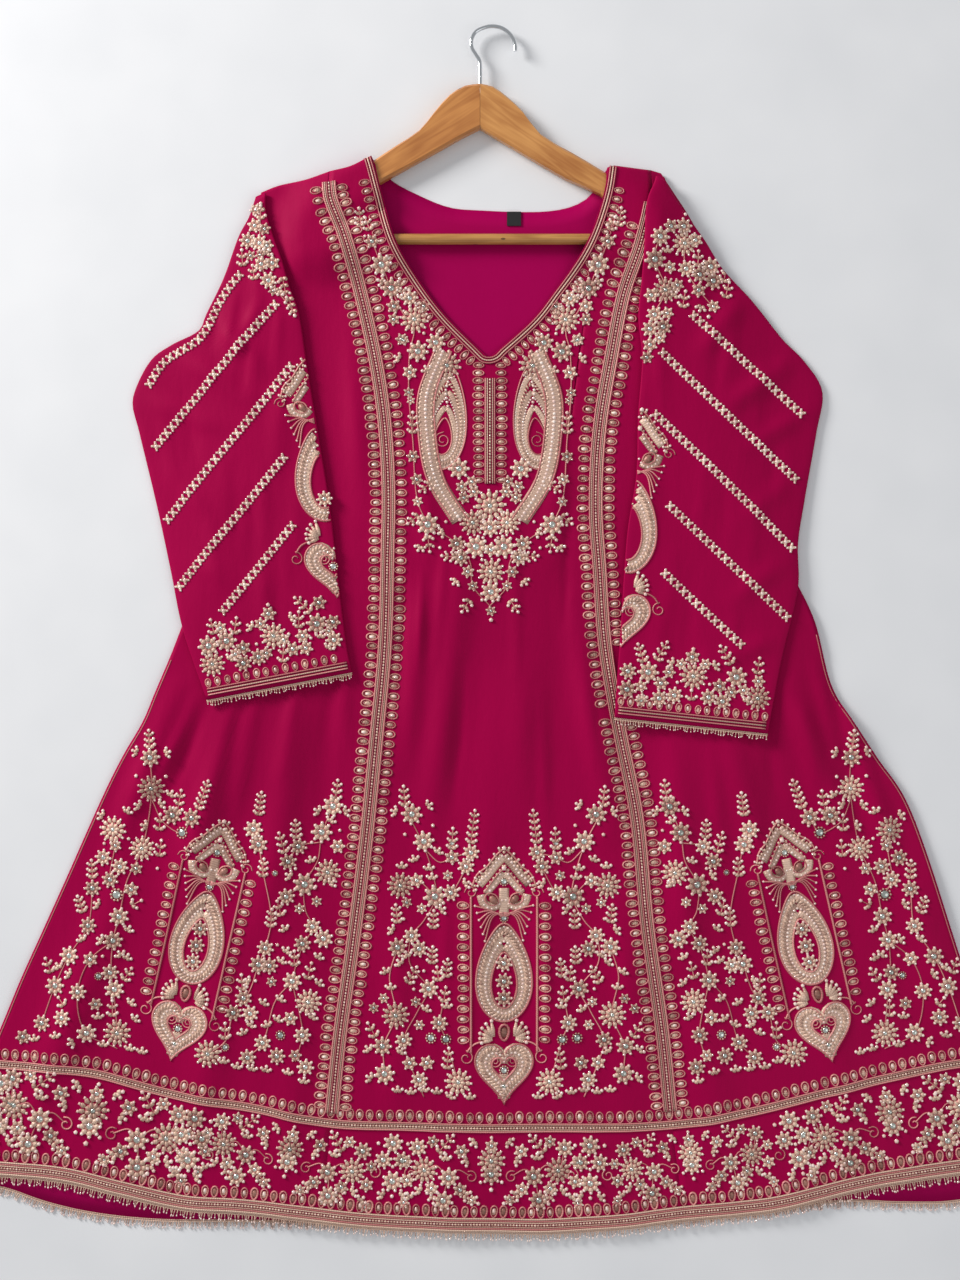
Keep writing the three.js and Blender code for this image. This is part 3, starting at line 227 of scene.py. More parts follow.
class Path:
    """A smooth plan curve that is read at distances along it."""

    FINE = 16

    def __init__(self, points: np.ndarray) -> None:
        """Draws the curve.

        Args:
            points: The plan points that it passes through.
        """
        ends = np.vstack((2 * points[0] - points[1], points, 2 * points[-1] - points[-2]))
        pieces = [self._piece(*ends[k : k + 4]) for k in range(len(points) - 1)]
        self.points = np.vstack(pieces + [points[-1:]])
        steps = np.hypot(*np.diff(self.points, axis=0).T)
        self.run = np.concatenate(([0.0], np.cumsum(steps)))

    @classmethod
    def _piece(cls, a: np.ndarray, b: np.ndarray, c: np.ndarray, d: np.ndarray) -> np.ndarray:
        """Finds the points of the curve from b up to c."""
        gaps = [max(float(np.hypot(*(q - p))), 1e-9) for p, q in ((a, b), (b, c), (c, d))]
        knots = np.cumsum([0.0] + [gap**0.5 for gap in gaps])
        at = np.linspace(knots[1], knots[2], cls.FINE, endpoint=False)[:, None]

        def between(p: np.ndarray, q: np.ndarray, start: int, end: int) -> np.ndarray:
            span = knots[end] - knots[start]
            return (knots[end] - at) / span * p + (at - knots[start]) / span * q

        first, second, third = between(a, b, 0, 1), between(b, c, 1, 2), between(c, d, 2, 3)
        return between(between(first, second, 0, 2), between(second, third, 1, 3), 1, 2)

    @property
    def length(self) -> float:
        """Length of the curve in metres."""
        return float(self.run[-1])

    def at(self, distance: np.ndarray) -> np.ndarray:
        """Reads points of the curve."""
        return np.column_stack([np.interp(distance, self.run, self.points[:, axis]) for axis in (0, 1)])

    def share(self, shares: np.ndarray) -> np.ndarray:
        """Reads points at shares of the length."""
        return self.at(np.asarray(shares) * self.length)

    def along(self, distance: np.ndarray) -> np.ndarray:
        """Reads the direction of the curve.

        Args:
            distance: Distances from its start.

        Returns:
            A unit vector for each distance.
        """
        near = 1.5 * MM
        step = self.at(np.minimum(distance + near, self.length)) - self.at(np.maximum(distance - near, 0.0))
        return step / np.maximum(np.hypot(*step.T), 1e-9)[:, None]

    def part(self, start: float, end: float) -> "Path":
        """Cuts a stretch out of the curve."""
        return Path(self.share(np.linspace(start, end, 60)))

    def beside(self, offset: float) -> "Path":
        """Draws the parallel curve to the left of this one."""
        distance = np.linspace(0.0, self.length, max(8, int(self.length / (8 * MM))))
        return Path(self.at(distance) + offset * square_to(self.along(distance)))

    def stations(self, count: int) -> tuple[np.ndarray, np.ndarray, np.ndarray]:
        """Divides the curve into equal steps.

        Args:
            count: Number of steps.

        Returns:
            The middle of each step, the direction there, and its angle in radians.
        """
        distance = (np.arange(count) + 0.5) * self.length / count
        along = self.along(distance)
        return self.at(distance), along, np.arctan2(along[:, 1], along[:, 0])


def cut_path(rows: Rows) -> Path:
    """Draws the curve through a table of the cut."""
    return Path(from_cut(rows))


def inside(points: np.ndarray, outline: np.ndarray) -> np.ndarray:
    """Finds which plan points lie within a closed outline.

    Args:
        points: Plan points, in any arrangement.
        outline: Corners of the outline.

    Returns:
        A mask with the arrangement of the points.
    """
    x, y = points[..., 0], points[..., 1]
    held = np.zeros(x.shape, bool)
    for (ax, ay), (bx, by) in zip(outline, np.roll(outline, -1, axis=0)):
        if ay != by:
            held ^= ((ay > y) != (by > y)) & (x < (bx - ax) * (y - ay) / (by - ay) + ax)
    return held


def distance_to(points: np.ndarray, line: np.ndarray) -> np.ndarray:
    """Finds how far plan points lie from a line of straight stretches.

    Args:
        points: Plan points, in any arrangement.
        line: Points of the line.

    Returns:
        The distances.
    """
    best = np.full(points.shape[:-1], np.inf)
    for start, end in zip(line[:-1], line[1:]):
        run = end - start
        along = np.clip(((points - start) @ run) / max(float(run @ run), 1e-12), 0.0, 1.0)
        away = points - start - along[..., None] * run
        best = np.minimum(best, np.hypot(away[..., 0], away[..., 1]))
    return best


class HeightField:
    """Heights over a regular plan grid, blended in between."""

    STEP = 3 * MM
    LOW = np.array((-0.63, -0.67))
    COLUMNS = 421
    ROWS = 401

    def __init__(self, heights: np.ndarray) -> None:
        """Keeps the heights."""
        self.heights = heights

    @classmethod
    def plan(cls) -> np.ndarray:
        """Lists the plan points of the grid.

        Returns:
            x and y for each row and column.
        """
        x = cls.LOW[0] + cls.STEP * np.arange(cls.COLUMNS)
        y = cls.LOW[1] + cls.STEP * np.arange(cls.ROWS)
        return np.stack(np.meshgrid(x, y), axis=-1)

    def at(self, points: np.ndarray) -> np.ndarray:
        """Reads heights.

        Args:
            points: Plan points, one to a row.

        Returns:
            The height at each.
        """
        where = (points - self.LOW) / self.STEP
        where = np.clip(where, 0, (self.COLUMNS - 1.001, self.ROWS - 1.001))
        low = where.astype(int)
        share = where - low
        j, i = low[..., 0], low[..., 1]
        u, v = share[..., 0], share[..., 1]
        upper = self.heights[i + 1, j] * (1 - u) + self.heights[i + 1, j + 1] * u
        lower = self.heights[i, j] * (1 - u) + self.heights[i, j + 1] * u
        return lower * (1 - v) + upper * v

    def raised(self, rise: float) -> "HeightField":
        """Moves the whole field up."""
        return HeightField(self.heights + rise)


def softened(grid: np.ndarray, across: float, down: float) -> np.ndarray:
    """Blurs a grid of values.

    Args:
        grid: The values.
        across: Radius of the blur along X, in metres.
        down: Radius of the blur along Y, in metres.

    Returns:
        The blurred values.
    """
    fx = np.fft.rfftfreq(grid.shape[1])
    fy = np.fft.fftfreq(grid.shape[0])
    pull = (fx[None, :] * across / HeightField.STEP) ** 2 + (fy[:, None] * down / HeightField.STEP) ** 2
    return np.fft.irfft2(np.fft.rfft2(grid) * np.exp(-2 * math.pi**2 * pull), s=grid.shape)


def ripple(seed: int, across: float, down: float) -> np.ndarray:
    """Makes uneven soft waves for cloth at rest.

    Args:
        seed: Number that fixes the waves.
        across: Their size along X, in metres.
        down: Their size along Y, in metres.

    Returns:
        Values of about minus one to one on the grid.
    """
    noise = np.random.default_rng(seed).standard_normal((HeightField.ROWS, HeightField.COLUMNS))
    soft = softened(noise, across, down)
    return soft / (3 * soft.std())


def creased(rows: Rows, fullness: float) -> np.ndarray:
    """Adds up creases; each one swells and dies away along its length.

    Args:
        rows: x, y, x, y, half width and height of each, in millimetres of the cut.
        fullness: Factor on every height.

    Returns:
        The height that they add over the grid, in metres.
    """
    plan = HeightField.plan()
    total = np.zeros(plan.shape[:2])
    for ax, ay, bx, by, width, top in rows:
        start, end = from_cut([[ax, ay], [bx, by]])
        run = end - start
        along = ((plan - start) @ run) / float(run @ run)
        held = np.clip(along, 0.0, 1.0)
        away = plan - start - held[..., None] * run
        distance = np.hypot(away[..., 0], away[..., 1]) / (width * MM)
        swell = np.sin(math.pi * (0.1 + 0.8 * held)) * (0.85 + 0.15 * np.sin(9.0 * held + ax))
        total += top * MM * swell * np.exp(-(distance**2))
    return total * fullness


@dataclass
class Terrain:
    """The heights of every layer that lies on the surface."""

    front: HeightField = field(init=False)
    left_low: HeightField = field(init=False)
    left_sleeve: HeightField = field(init=False)
    right_low: HeightField = field(init=False)
    right_sleeve: HeightField = field(init=False)

    FLOOR_GAP = 0.3 * MM
    EASE = 2.2 * MM  # how far the front stands off what carries it
    FULLNESS = 3.0
    HELD_BY_WOOD = 0.8
    ON_WOOD = 2 * MM
    BRAID_HEIGHT = 2.6 * MM
    BRAID_REACH = 18 * MM
    FOLDED = 3.0 * MM  # two layers of cloth with what lies between them
    SWELL = 1.7 * MM
    LEAST_FOLDED = 2.2 * MM
    SLEEVE_FULLNESS = 2.1
    EDGE_SHARE = 0.35  # what a crease keeps of its height at a folded edge
    DRAPE_ROUNDS = 40
    DRAPE_REACH = 7 * MM
    LAST_REACH = 4 * MM
    LAST_RISE = 0.5 * MM
    # Ripples: step of the seed, height, and size across and down, in millimetres
    FRONT_WAVES = ((0, 2.2, 24, 80), (1, 0.7, 9, 34))
    SLEEVE_WAVES = ((0, 0.5, 14, 30), (9, 0.8, 30, 50))

    def __post_init__(self) -> None:
        """Works out the layers from the lowest up."""
        self.plan = HeightField.plan()
        self.front = HeightField(self._front())
        support = self._dressed_front()
        left = (SLEEVE_LEFT_OUTER, SLEEVE_LEFT_INNER, SLEEVE_LEFT_CREASES)
        right = (SLEEVE_RIGHT_OUTER, SLEEVE_RIGHT_INNER, SLEEVE_RIGHT_CREASES)
        self.left_low, self.left_sleeve = self._sleeve(*left, support, SEED + 5)
        self.right_low, self.right_sleeve = self._sleeve(*right, support, SEED + 6)

    @staticmethod
    def _waves(rows: Rows, seed: int) -> np.ndarray:
        """Adds up ripples, in millimetres."""
        return sum(high * ripple(seed + step, across * MM, down * MM) for step, high, across, down in rows)

    def _front(self) -> np.ndarray:
        """Underside of the front cloth: flat on the back, over the hanger, with its creases."""
        arms = []
        for rows in (ARM_LEFT, ARM_RIGHT):
            upper, lower = from_cut([r[:2] for r in rows]), from_cut([r[2:] for r in rows])
            arms.append(np.vstack((upper, lower[::-1])))
        bar = distance_to(self.plan, from_cut(BAR_LINE)) - BAR_RADIUS
        away = np.minimum.reduce([distance_to(self.plan, np.vstack((arm, arm[:1]))) for arm in arms] + [bar])
        on_wood = np.logical_or.reduce([inside(self.plan, arm) for arm in arms])
        away = np.where(on_wood, 0.0, np.maximum(away, 0.0))
        top = HANGER_TOP + HANGER_CLEAR
        carried = smooth(1 - away / HANGER_REACH)
        rest = self.EASE + self._waves(self.FRONT_WAVES, SEED) * MM + creased(FRONT_CREASES, self.FULLNESS)
        free = np.maximum(rest, 0.0) * (1 - self.HELD_BY_WOOD * carried)
        height = FRONT_REST + (top - FRONT_REST) * carried + free
        return np.where(away < self.ON_WOOD, np.maximum(height, top), height)

    def _dressed_front(self) -> np.ndarray:
        """Top of the front with its princess braids, and the bare surface beyond it."""
        edges = (SIDE_LEFT[::-1], SHOULDER_LEFT_SIDE, SHOULDER_RIGHT_SIDE, SIDE_RIGHT)
        outline = np.vstack([cut_path(rows).points for rows in edges])[::4]
        top = np.where(inside(self.plan, outline), self.front.heights + CLOTH, 0.0)
        for rows in (BAND_LEFT, BAND_RIGHT):
            near = distance_to(self.plan, cut_path(rows).points[::8])
            top = top + np.where(near < self.BRAID_REACH, self.BRAID_HEIGHT, 0.0)
        return top

    def _sleeve(
        self, outer: Rows, inner: Rows, creases: Rows, support: np.ndarray, seed: int,
    ) -> tuple[HeightField, HeightField]:
        """Lower and upper face of a sleeve that lies over the front and the surface."""
        low = support + self.FLOOR_GAP
        for _ in range(self.DRAPE_ROUNDS):
            low = np.maximum(support + self.FLOOR_GAP, softened(low, self.DRAPE_REACH, self.DRAPE_REACH))
        low = softened(low, self.LAST_REACH, self.LAST_REACH) + self.LAST_RISE
        to_outer = distance_to(self.plan, cut_path(outer).points[::4])
        to_inner = distance_to(self.plan, cut_path(inner).points[::4])
        share = to_inner / np.maximum(to_inner + to_outer, 1e-6)
        swell = np.sqrt(np.maximum(4 * share * (1 - share), 0.0))
        high = low + self.FOLDED + swell * (self.SWELL + self._waves(self.SLEEVE_WAVES, seed) * MM)
        held = self.EDGE_SHARE + (1 - self.EDGE_SHARE) * swell
        high = high + creased(creases, self.SLEEVE_FULLNESS) * held
        return HeightField(low), HeightField(np.maximum(high, low + self.LEAST_FOLDED))


def mesh_object(name: str, bm: bmesh.types.BMesh, smoothed: bool = True) -> bpy.types.Object:
    """Turns a worked mesh into an object at the origin.

    Args:
        name: Name of the object.
        bm: The mesh, which is freed.
        smoothed: Whether its faces are shaded smooth.

    Returns:
        The object, in the scene.
    """
    mesh = bpy.data.meshes.new(name)
    for face in bm.faces:
        face.smooth = smoothed
    bm.to_mesh(mesh)
    bm.free()
    made = bpy.data.objects.new(name, mesh)
    bpy.context.scene.collection.objects.link(made)
    return made


def woven_grid(name: str, points: np.ndarray, closed: bool = False) -> bpy.types.Object:
    """Makes a sheet whose points are given row by row, the top row first.

    Args:
        name: Name of the sheet.
        points: Rows of columns of points.
        closed: Whether the last column meets the first, as in a tube.

    Returns:
        The sheet.
    """
    rows, columns = points.shape[0] - 1, points.shape[1] - 1
    bm = bmesh.new()
    bmesh.ops.create_grid(bm, x_segments=columns, y_segments=rows, size=0.5)
    for vert in bm.verts:
        vert.co = points[round((0.5 - vert.co.y) * rows), round((vert.co.x + 0.5) * columns)]
    if closed:
        bmesh.ops.remove_doubles(bm, verts=bm.verts, dist=1e-6)
    return mesh_object(name, bm)


def thickened(piece: bpy.types.Object, thickness: float, offset: float) -> None:
    """Gives a sheet its thickness.

    Args:
        piece: The sheet.
        thickness: Thickness in metres.
        offset: One to grow outwards from its faces, minus one to grow inwards.
    """
    solid = piece.modifiers.new("thickness", "SOLIDIFY")
    solid.thickness = thickness
    solid.offset = offset
    solid.use_even_offset = False
    solid.use_rim = True


def edge(*runs: tuple[Rows, int]) -> np.ndarray:
    """Joins stretches of a cut edge, each divided into equal steps."""
    points = [cut_path(rows).share(np.linspace(0, 1, count + 1)) for rows, count in runs]
    return np.vstack([points[0]] + [more[1:] for more in points[1:]])


@dataclass
class Panel:
    """A cut piece of cloth between four edges, laid on a height field."""

    name: str
    left: Rows
    right: Rows
    top: Sequence[tuple[Rows, int]]
    bottom: Sequence[tuple[Rows, int]]
    lies_on: HeightField
    rows: int
    thickness: float = CLOTH
    rolled: bool = True
    ROLL = (0.0, 0.5, 1.1, 1.9, 2.8, 4.0)  # millimetres from the shoulder seam, for its close rows
    ROLL_REACH = 3.6 * MM

    def shares(self) -> np.ndarray:
        """Lists the shares of the length where the rows lie: close at the shoulder seam."""
        if not self.rolled:
            return np.linspace(0, 1, self.rows + 1)
        length = Path(from_cut(self.left)).length
        near = np.asarray(self.ROLL) * MM / length
        return np.concatenate((near, np.linspace(near[-1], 1, self.rows - len(near) + 2)[1:]))

    def points(self) -> np.ndarray:
        """Works out the plan of the piece and its heights.

        Returns:
            Rows of columns of points.
        """
        top, bottom = edge(*self.top), edge(*self.bottom)
        shares = self.shares()
        left, right = Path(from_cut(self.left)).share(shares), Path(from_cut(self.right)).share(shares)
        v = shares[:, None, None]
        u = np.linspace(0, 1, len(top))[None, :, None]
        plan = (1 - u) * left[:, None] + u * right[:, None] + (1 - v) * top[None] + v * bottom[None]
        plan = plan - (1 - v) * ((1 - u) * left[0] + u * right[0]) - v * ((1 - u) * left[-1] + u * right[-1])
        height = self.lies_on.at(plan)
        if self.rolled:
            height = self._rolled_down(plan, height)
        return np.concatenate((plan, height[..., None]), axis=-1)

    def _rolled_down(self, plan: np.ndarray, height: np.ndarray) -> np.ndarray:
        """Rounds the shoulder edge down to its seam."""
        near = np.zeros(plan.shape[:2])
        near[1:] = np.cumsum(np.hypot(*np.moveaxis(np.diff(plan, axis=0), -1, 0)), axis=0)
        shoulder = np.zeros(plan.shape[1], bool)
        column = 0
        for rows, steps in self.top:
            shoulder[column : column + steps + 1] |= rows in SHOULDERS
            column += steps
        turn = np.clip(near / self.ROLL_REACH, 0.0, 1.0)
        rise = np.where(shoulder, np.sqrt(np.maximum(1 - (1 - turn) ** 2, 0.0)), 1.0)
        return FRONT_REST + (height - FRONT_REST) * rise

    def build(self) -> bpy.types.Object:
        """Makes the piece.

        Returns:
            The piece of cloth.
        """
        piece = woven_grid(self.name, self.points())
        thickened(piece, self.thickness, 1.0)
        LOG.info("%s: %d points", self.name, len(piece.data.vertices))
        return piece

    def area(self) -> float:
        """Measures the plan of the piece.

        Returns:
            Square metres.
        """
        plan = self.points()
        across = plan[:, 1:] - plan[:, :-1]
        down = plan[1:] - plan[:-1]
        return float(np.linalg.norm(np.cross(across[:-1], down[:, :-1]), axis=-1).sum())


@dataclass
class Sleeve:
    """A sleeve laid flat: a tube whose folded edges are rounded."""

    name: str
    outer: Rows
    inner: Rows
    low: HeightField
    high: HeightField
    across: int = 30
    along: int = 96
    bends: int = 3
    ROUND = 1.5 * MM

    def plan_edges(self) -> tuple[np.ndarray, np.ndarray]:
        """Reads the folded edges at the rows of the tube."""
        shares = np.linspace(0, 1, self.along + 1)
        return Path(from_cut(self.outer)).share(shares), Path(from_cut(self.inner)).share(shares)

    def outline(self) -> np.ndarray:
        """Draws the plan of the sleeve."""
        outer, inner = self.plan_edges()
        return np.vstack((outer, inner[::-1]))

    def build(self) -> bpy.types.Object:
        """Makes the sleeve.

        Returns:
            The sleeve.
        """
        outer, inner = self.plan_edges()
        start, end = (inner, outer) if inner[0][0] < outer[0][0] else (outer, inner)
        wide = np.hypot(*(end - start).T)
        round_by = np.minimum(self.ROUND, wide * 0.2)
        quarter = np.linspace(0, math.pi / 2, self.bends + 1)[:-1]
        near = [(round_by * (1 - math.cos(a)) / wide, 0.5 + 0.5 * math.sin(a)) for a in quarter]
        far = [(1 - share, rise) for share, rise in near]
        margin = round_by / wide
        flat = [margin + (1 - 2 * margin) * share for share in np.linspace(0, 1, self.across + 1)]
        columns = near + [(share, 1.0) for share in flat] + far[::-1]
        columns += [(share, 1 - rise) for share, rise in far[1:]] + [(share, 0.0) for share in flat[::-1]]
        columns += [(share, 1 - rise) for share, rise in near[::-1]]
        points = np.empty((self.along + 1, len(columns), 3))
        for k, (share, rise) in enumerate(columns):
            plan = start + (end - start) * np.asarray(share)[:, None]
            low, high = self.low.at(plan), self.high.at(plan)
            points[:, k, :2] = plan
            points[:, k, 2] = low + (high - low) * rise
        piece = woven_grid(self.name, points, closed=True)
        thickened(piece, CLOTH, -1.0)
        LOG.info("%s: %d points", self.name, len(piece.data.vertices))
        return piece

    def area(self) -> float:
        """Measures the cut of the whole tube.

        Returns:
            Square metres.
        """
        outer, inner = self.plan_edges()
        middle = (outer + inner) / 2
        wide = np.hypot(*(outer - inner).T)
        steps = np.hypot(*np.diff(middle, axis=0).T)
        return float(2 * ((wide[1:] + wide[:-1]) / 2 * steps).sum())


# Finishes
class Thread(IntEnum):
    """What a worked detail is made of; its number is its material slot."""

    ROSE = 0
    ZARI = 1
    PEARL = 2
    MIRROR = 3
    SATIN = 4
    GROUND = 5


@dataclass(frozen=True)
class Colour:
    """A colour by its screen values."""

    red: int
    green: int
    blue: int

    def linear(self) -> tuple[float, float, float, float]:
        """Converts the colour for a shader.

        Returns:
            Red, green, blue and one.
        """
        def lit(value: int) -> float:
            share = value / 255
            return share / 12.92 if share <= 0.04045 else ((share + 0.055) / 1.055) ** 2.4

        return lit(self.red), lit(self.green), lit(self.blue), 1.0


class Shader:
    """A small bench for wiring one node tree."""

    def __init__(self, tree: bpy.types.NodeTree) -> None:
        """Takes the tree."""
        self.tree = tree

    def add(self, kind: str, settings: dict[str, object] | None = None, **inputs: object) -> bpy.types.Node:
        """Adds a node.

        Args:
            kind: Type of the node.
            settings: Properties of the node.
            inputs: Sockets, by name with underscores for spaces, and a value or a socket for each.

        Returns:
            The node.
        """
        node = self.tree.nodes.new(kind)
        for name, value in (settings or {}).items():
            setattr(node, name, value)
        for name, value in inputs.items():
            self.feed(node, name.replace("_", " "), value)
        return node

    def feed(self, node: bpy.types.Node, name: str | int, value: object) -> None:
        """Sets or links one input.

        Args:
            node: The node.
            name: Name or number of the socket.
            value: A value, or the socket that feeds it.
        """
        socket = node.inputs[name]
        if isinstance(value, bpy.types.NodeSocket):
            self.tree.links.new(value, socket)
        else:
            socket.default_value = value

    def math(self, operation: str, a: object, b: object = 0.0, c: object = 0.0) -> bpy.types.NodeSocket:
        """Adds a sum.

        Args:
            operation: Which sum.
            a: First value or socket.
            b: Second value or socket.
            c: Third value or socket.

        Returns:
            The result.
        """
        node = self.add("ShaderNodeMath", {"operation": operation})
        for k, value in enumerate((a, b, c)):
            self.feed(node, k, value)
        return node.outputs[0]

    def total(self, *terms: tuple[object, float], base: float = 0.0) -> bpy.types.NodeSocket:
        """Adds up sockets.

        Args:
            terms: Each socket and its weight.
            base: Value to start from.

        Returns:
            The sum.
        """
        result = self.math("MULTIPLY", *terms[0])
        for socket, weight in terms[1:]:
            result = self.math("ADD", result, self.math("MULTIPLY", socket, weight))
        return self.math("ADD", result, base)

    def object_place(self) -> bpy.types.NodeSocket:
        """Reads the place on the object."""
        return self.add("ShaderNodeTexCoord").outputs["Object"]

    def toned(self, tone: object, given: dict) -> bpy.types.NodeSocket:
        """Blends a group's dark and light tones by a value held between nought and one."""
        held = self.add("ShaderNodeClamp", Value=tone).outputs[0]
        return self.mix(held, given["Dark"], given["Light"])

    def mix(self, share: object, a: object, b: object) -> bpy.types.NodeSocket:
        """Blends two colours.

        Args:
            share: Share of the second.
            a: First colour.
            b: Second colour.

        Returns:
            The blend.
        """
        node = self.add("ShaderNodeMix", {"data_type": "RGBA"})
        self.feed(node, 0, share)
        self.feed(node, 6, a)
        self.feed(node, 7, b)
        return node.outputs[2]

    def noise(
        self, vector: object, scale: float, detail: float = 2.0, roughness: float = 0.5,
    ) -> bpy.types.NodeSocket:
        """Adds uneven mottling."""
        node = self.add("ShaderNodeTexNoise", Vector=vector, Scale=scale, Detail=detail, Roughness=roughness)
        return node.outputs["Fac"]

    def stretched(self, vector: object, scale: Size) -> bpy.types.NodeSocket:
        """Stretches the place where a texture is read."""
        return self.add("ShaderNodeMapping", Vector=vector, Scale=scale).outputs[0]


def effect_group(
    name: str, inputs: dict[str, tuple[str, object]], fill: Callable[[Shader, dict], dict],
) -> bpy.types.NodeTree:
    """Makes a shared effect.

    Args:
        name: Name of the group.
        inputs: Socket type and starting value of each input.
        fill: Wires the group and returns the sockets for Color, Roughness and Height.

    Returns:
        The node group.
    """
    tree = bpy.data.node_groups.new(name, "ShaderNodeTree")
    for label, (kind, value) in inputs.items():
        tree.interface.new_socket(label, in_out="INPUT", socket_type=kind).default_value = value
    outputs = {"Color": "NodeSocketColor", "Roughness": "NodeSocketFloat", "Height": "NodeSocketFloat"}
    for label, kind in outputs.items():
        tree.interface.new_socket(label, in_out="OUTPUT", socket_type=kind)
    bench = Shader(tree)
    given = bench.add("NodeGroupInput")
    result = bench.add("NodeGroupOutput")
    for label, socket in fill(bench, {label: given.outputs[label] for label in inputs}).items():
        bench.feed(result, label, socket)
    return tree


def fill_cloth(bench: Shader, given: dict) -> dict:
    """Wires fine satin-faced crepe: a tight weave, soft mottling and small puckers."""
    place = bench.object_place()
    parts = bench.add("ShaderNodeSeparateXYZ", Vector=place)
    turns = [bench.math("MULTIPLY", parts.outputs[k], given["Weave"]) for k in (0, 1)]
    weave = bench.math("MULTIPLY", *[bench.math("SINE", turn) for turn in turns])
    pucker = bench.noise(bench.stretched(place, (1.0, 0.35, 1.0)), 46.0, 3.0, 0.55)
    drift = bench.noise(bench.stretched(place, (1.0, 0.3, 1.0)), 7.0)
    slub = bench.noise(bench.stretched(place, (1.0, 0.08, 1.0)), 900.0, 1.0)
    return {
        "Color": bench.toned(bench.total((drift, 0.9), (slub, 0.22), base=-0.06), given),
        "Roughness": bench.total((pucker, 0.16), base=0.5),
        "Height": bench.total((weave, 0.02), (pucker, 1.0), (slub, 0.03)),
    }


def fill_thread(bench: Shader, given: dict) -> dict:
    """Wires metal thread: wound turns along each cord, with painted shade and highlight on them, and a tone
    for each stitch.
    """
    lay = bench.add("ShaderNodeUVMap", {"uv_map": "lay"})
    parts = bench.add("ShaderNodeSeparateXYZ", Vector=lay.outputs[0])
    turn = bench.math("ADD", bench.math("MULTIPLY", parts.outputs[0], given["Turns"]), parts.outputs[1])
    wound = bench.math("SINE", bench.math("MULTIPLY", turn, 2 * math.pi))
    shade = bench.add("ShaderNodeAttribute", {"attribute_name": "shade"}).outputs["Fac"]
    grain = bench.noise(bench.object_place(), 1400.0, 2.0, 0.6)
    return {
        # the wound wave in the colour is painted shade in the grooves and painted highlight on the ridges of
        # the turns; where Turns is nought, as on beads and mirrors, it is a painted highlight on their tops
        "Color": bench.toned(bench.total((shade, 0.55), (grain, 0.6), (wound, 0.1), base=-0.1), given),
        "Roughness": bench.math("ADD", given["Polish"], bench.math("MULTIPLY", grain, 0.2)),
        "Height": bench.total((wound, 0.5), (grain, 0.6)),
    }


def fill_wood(bench: Shader, given: dict) -> dict:
    """Wires varnished wood: long grain, darker pores and small nicks."""
    about = {"rotation_type": "Z_AXIS"}
    place = bench.object_place()
    turned = bench.add("ShaderNodeVectorRotate", about, Vector=place, Angle=given["Turn"]).outputs[0]
    bend = bench.noise(bench.stretched(turned, (0.09, 1.0, 1.0)), 34.0, 3.0, 0.6)
    rings = bench.math("SINE", bench.math("MULTIPLY", bend, 60.0))
    pores = bench.noise(bench.stretched(turned, (0.05, 1.0, 1.0)), 520.0, 2.0, 0.6)
    blotch = bench.noise(turned, 22.0)
    wood = bench.toned(bench.total((rings, 0.13), (blotch, 0.9), (pores, 0.35), base=-0.15), given)
    cells = bench.add("ShaderNodeTexVoronoi", Vector=bench.stretched(turned, (0.45, 1.0, 1.0)), Scale=62.0)
    nick = bench.math("LESS_THAN", cells.outputs["Distance"], 0.07)
    return {
        "Color": bench.mix(bench.math("MULTIPLY", nick, 0.75), wood, given["Nick"]),
        "Roughness": bench.total((pores, 0.2), base=0.3),
        "Height": bench.total((pores, 1.0), (rings, 0.2)),
    }


def fill_plain(bench: Shader, given: dict) -> dict:
    """Wires a plain fine surface: a little tone and a fine tooth."""
    place = bench.object_place()
    drift = bench.noise(place, 9.0)
    tooth = bench.noise(place, 700.0, 2.0, 0.6)
    rough = bench.math("ADD", given["Polish"], bench.math("MULTIPLY", tooth, 0.12))
    return {"Color": bench.mix(drift, given["Dark"], given["Light"]), "Roughness": rough, "Height": tooth}


class Effect(Enum):
    """The shared effects, each with its wiring and its own inputs."""

    CLOTH = ("cloth_effect", fill_cloth, {"Weave": 9000.0})
    THREAD = ("thread_effect", fill_thread, {"Turns": 420.0, "Polish": 0.3})
    WOOD = ("wood_effect", fill_wood, {"Turn": 0.0, "Nick": (0.05, 0.02, 0.01, 1.0)})
    PLAIN = ("plain_effect", fill_plain, {"Polish": 0.5})

    def tree(self) -> bpy.types.NodeTree:
        """Finds or makes the node group of this effect."""
        name, fill, extra = self.value
        if name in bpy.data.node_groups:
            return bpy.data.node_groups[name]
        values = {"Dark": (0.1, 0.1, 0.1, 1.0), "Light": (0.5, 0.5, 0.5, 1.0), **extra}
        kinds = {float: "NodeSocketFloat", tuple: "NodeSocketColor"}
        inputs = {label: (kinds[type(value)], value) for label, value in values.items()}
        return effect_group(name, inputs, fill)


@dataclass(frozen=True)
class Finish:
    """One procedural material."""

    name: str
    effect: Effect
    dark: Colour
    light: Colour
    metal: float = 0.0
    bump: float = 0.2
    depth: float = 0.0003
    coat: float = 0.0
    specular: float = 0.5
    extra: tuple[tuple[str, object], ...] = ()

    def material(self) -> bpy.types.Material:
        """Finds or makes the material.

        Returns:
            The material.
        """
        if self.name in bpy.data.materials:
            return bpy.data.materials[self.name]
        made = bpy.data.materials.new(self.name)
        made.use_nodes = True
        bench = Shader(made.node_tree)
        shader = made.node_tree.nodes["Principled BSDF"]
        group = {"node_tree": self.effect.tree()}
        effect = bench.add("ShaderNodeGroup", group, Dark=self.dark.linear(), Light=self.light.linear())
        for label, value in self.extra:
            bench.feed(effect, label, value)
        height = effect.outputs["Height"]
        bump = bench.add("ShaderNodeBump", Strength=self.bump, Distance=self.depth, Height=height)
        for label, value in (
            ("Base Color", effect.outputs["Color"]), ("Roughness", effect.outputs["Roughness"]),
            ("Normal", bump.outputs[0]), ("Metallic", self.metal), ("Coat Weight", self.coat),
            ("Specular IOR Level", self.specular),
        ):
            bench.feed(shader, label, value)
        return made


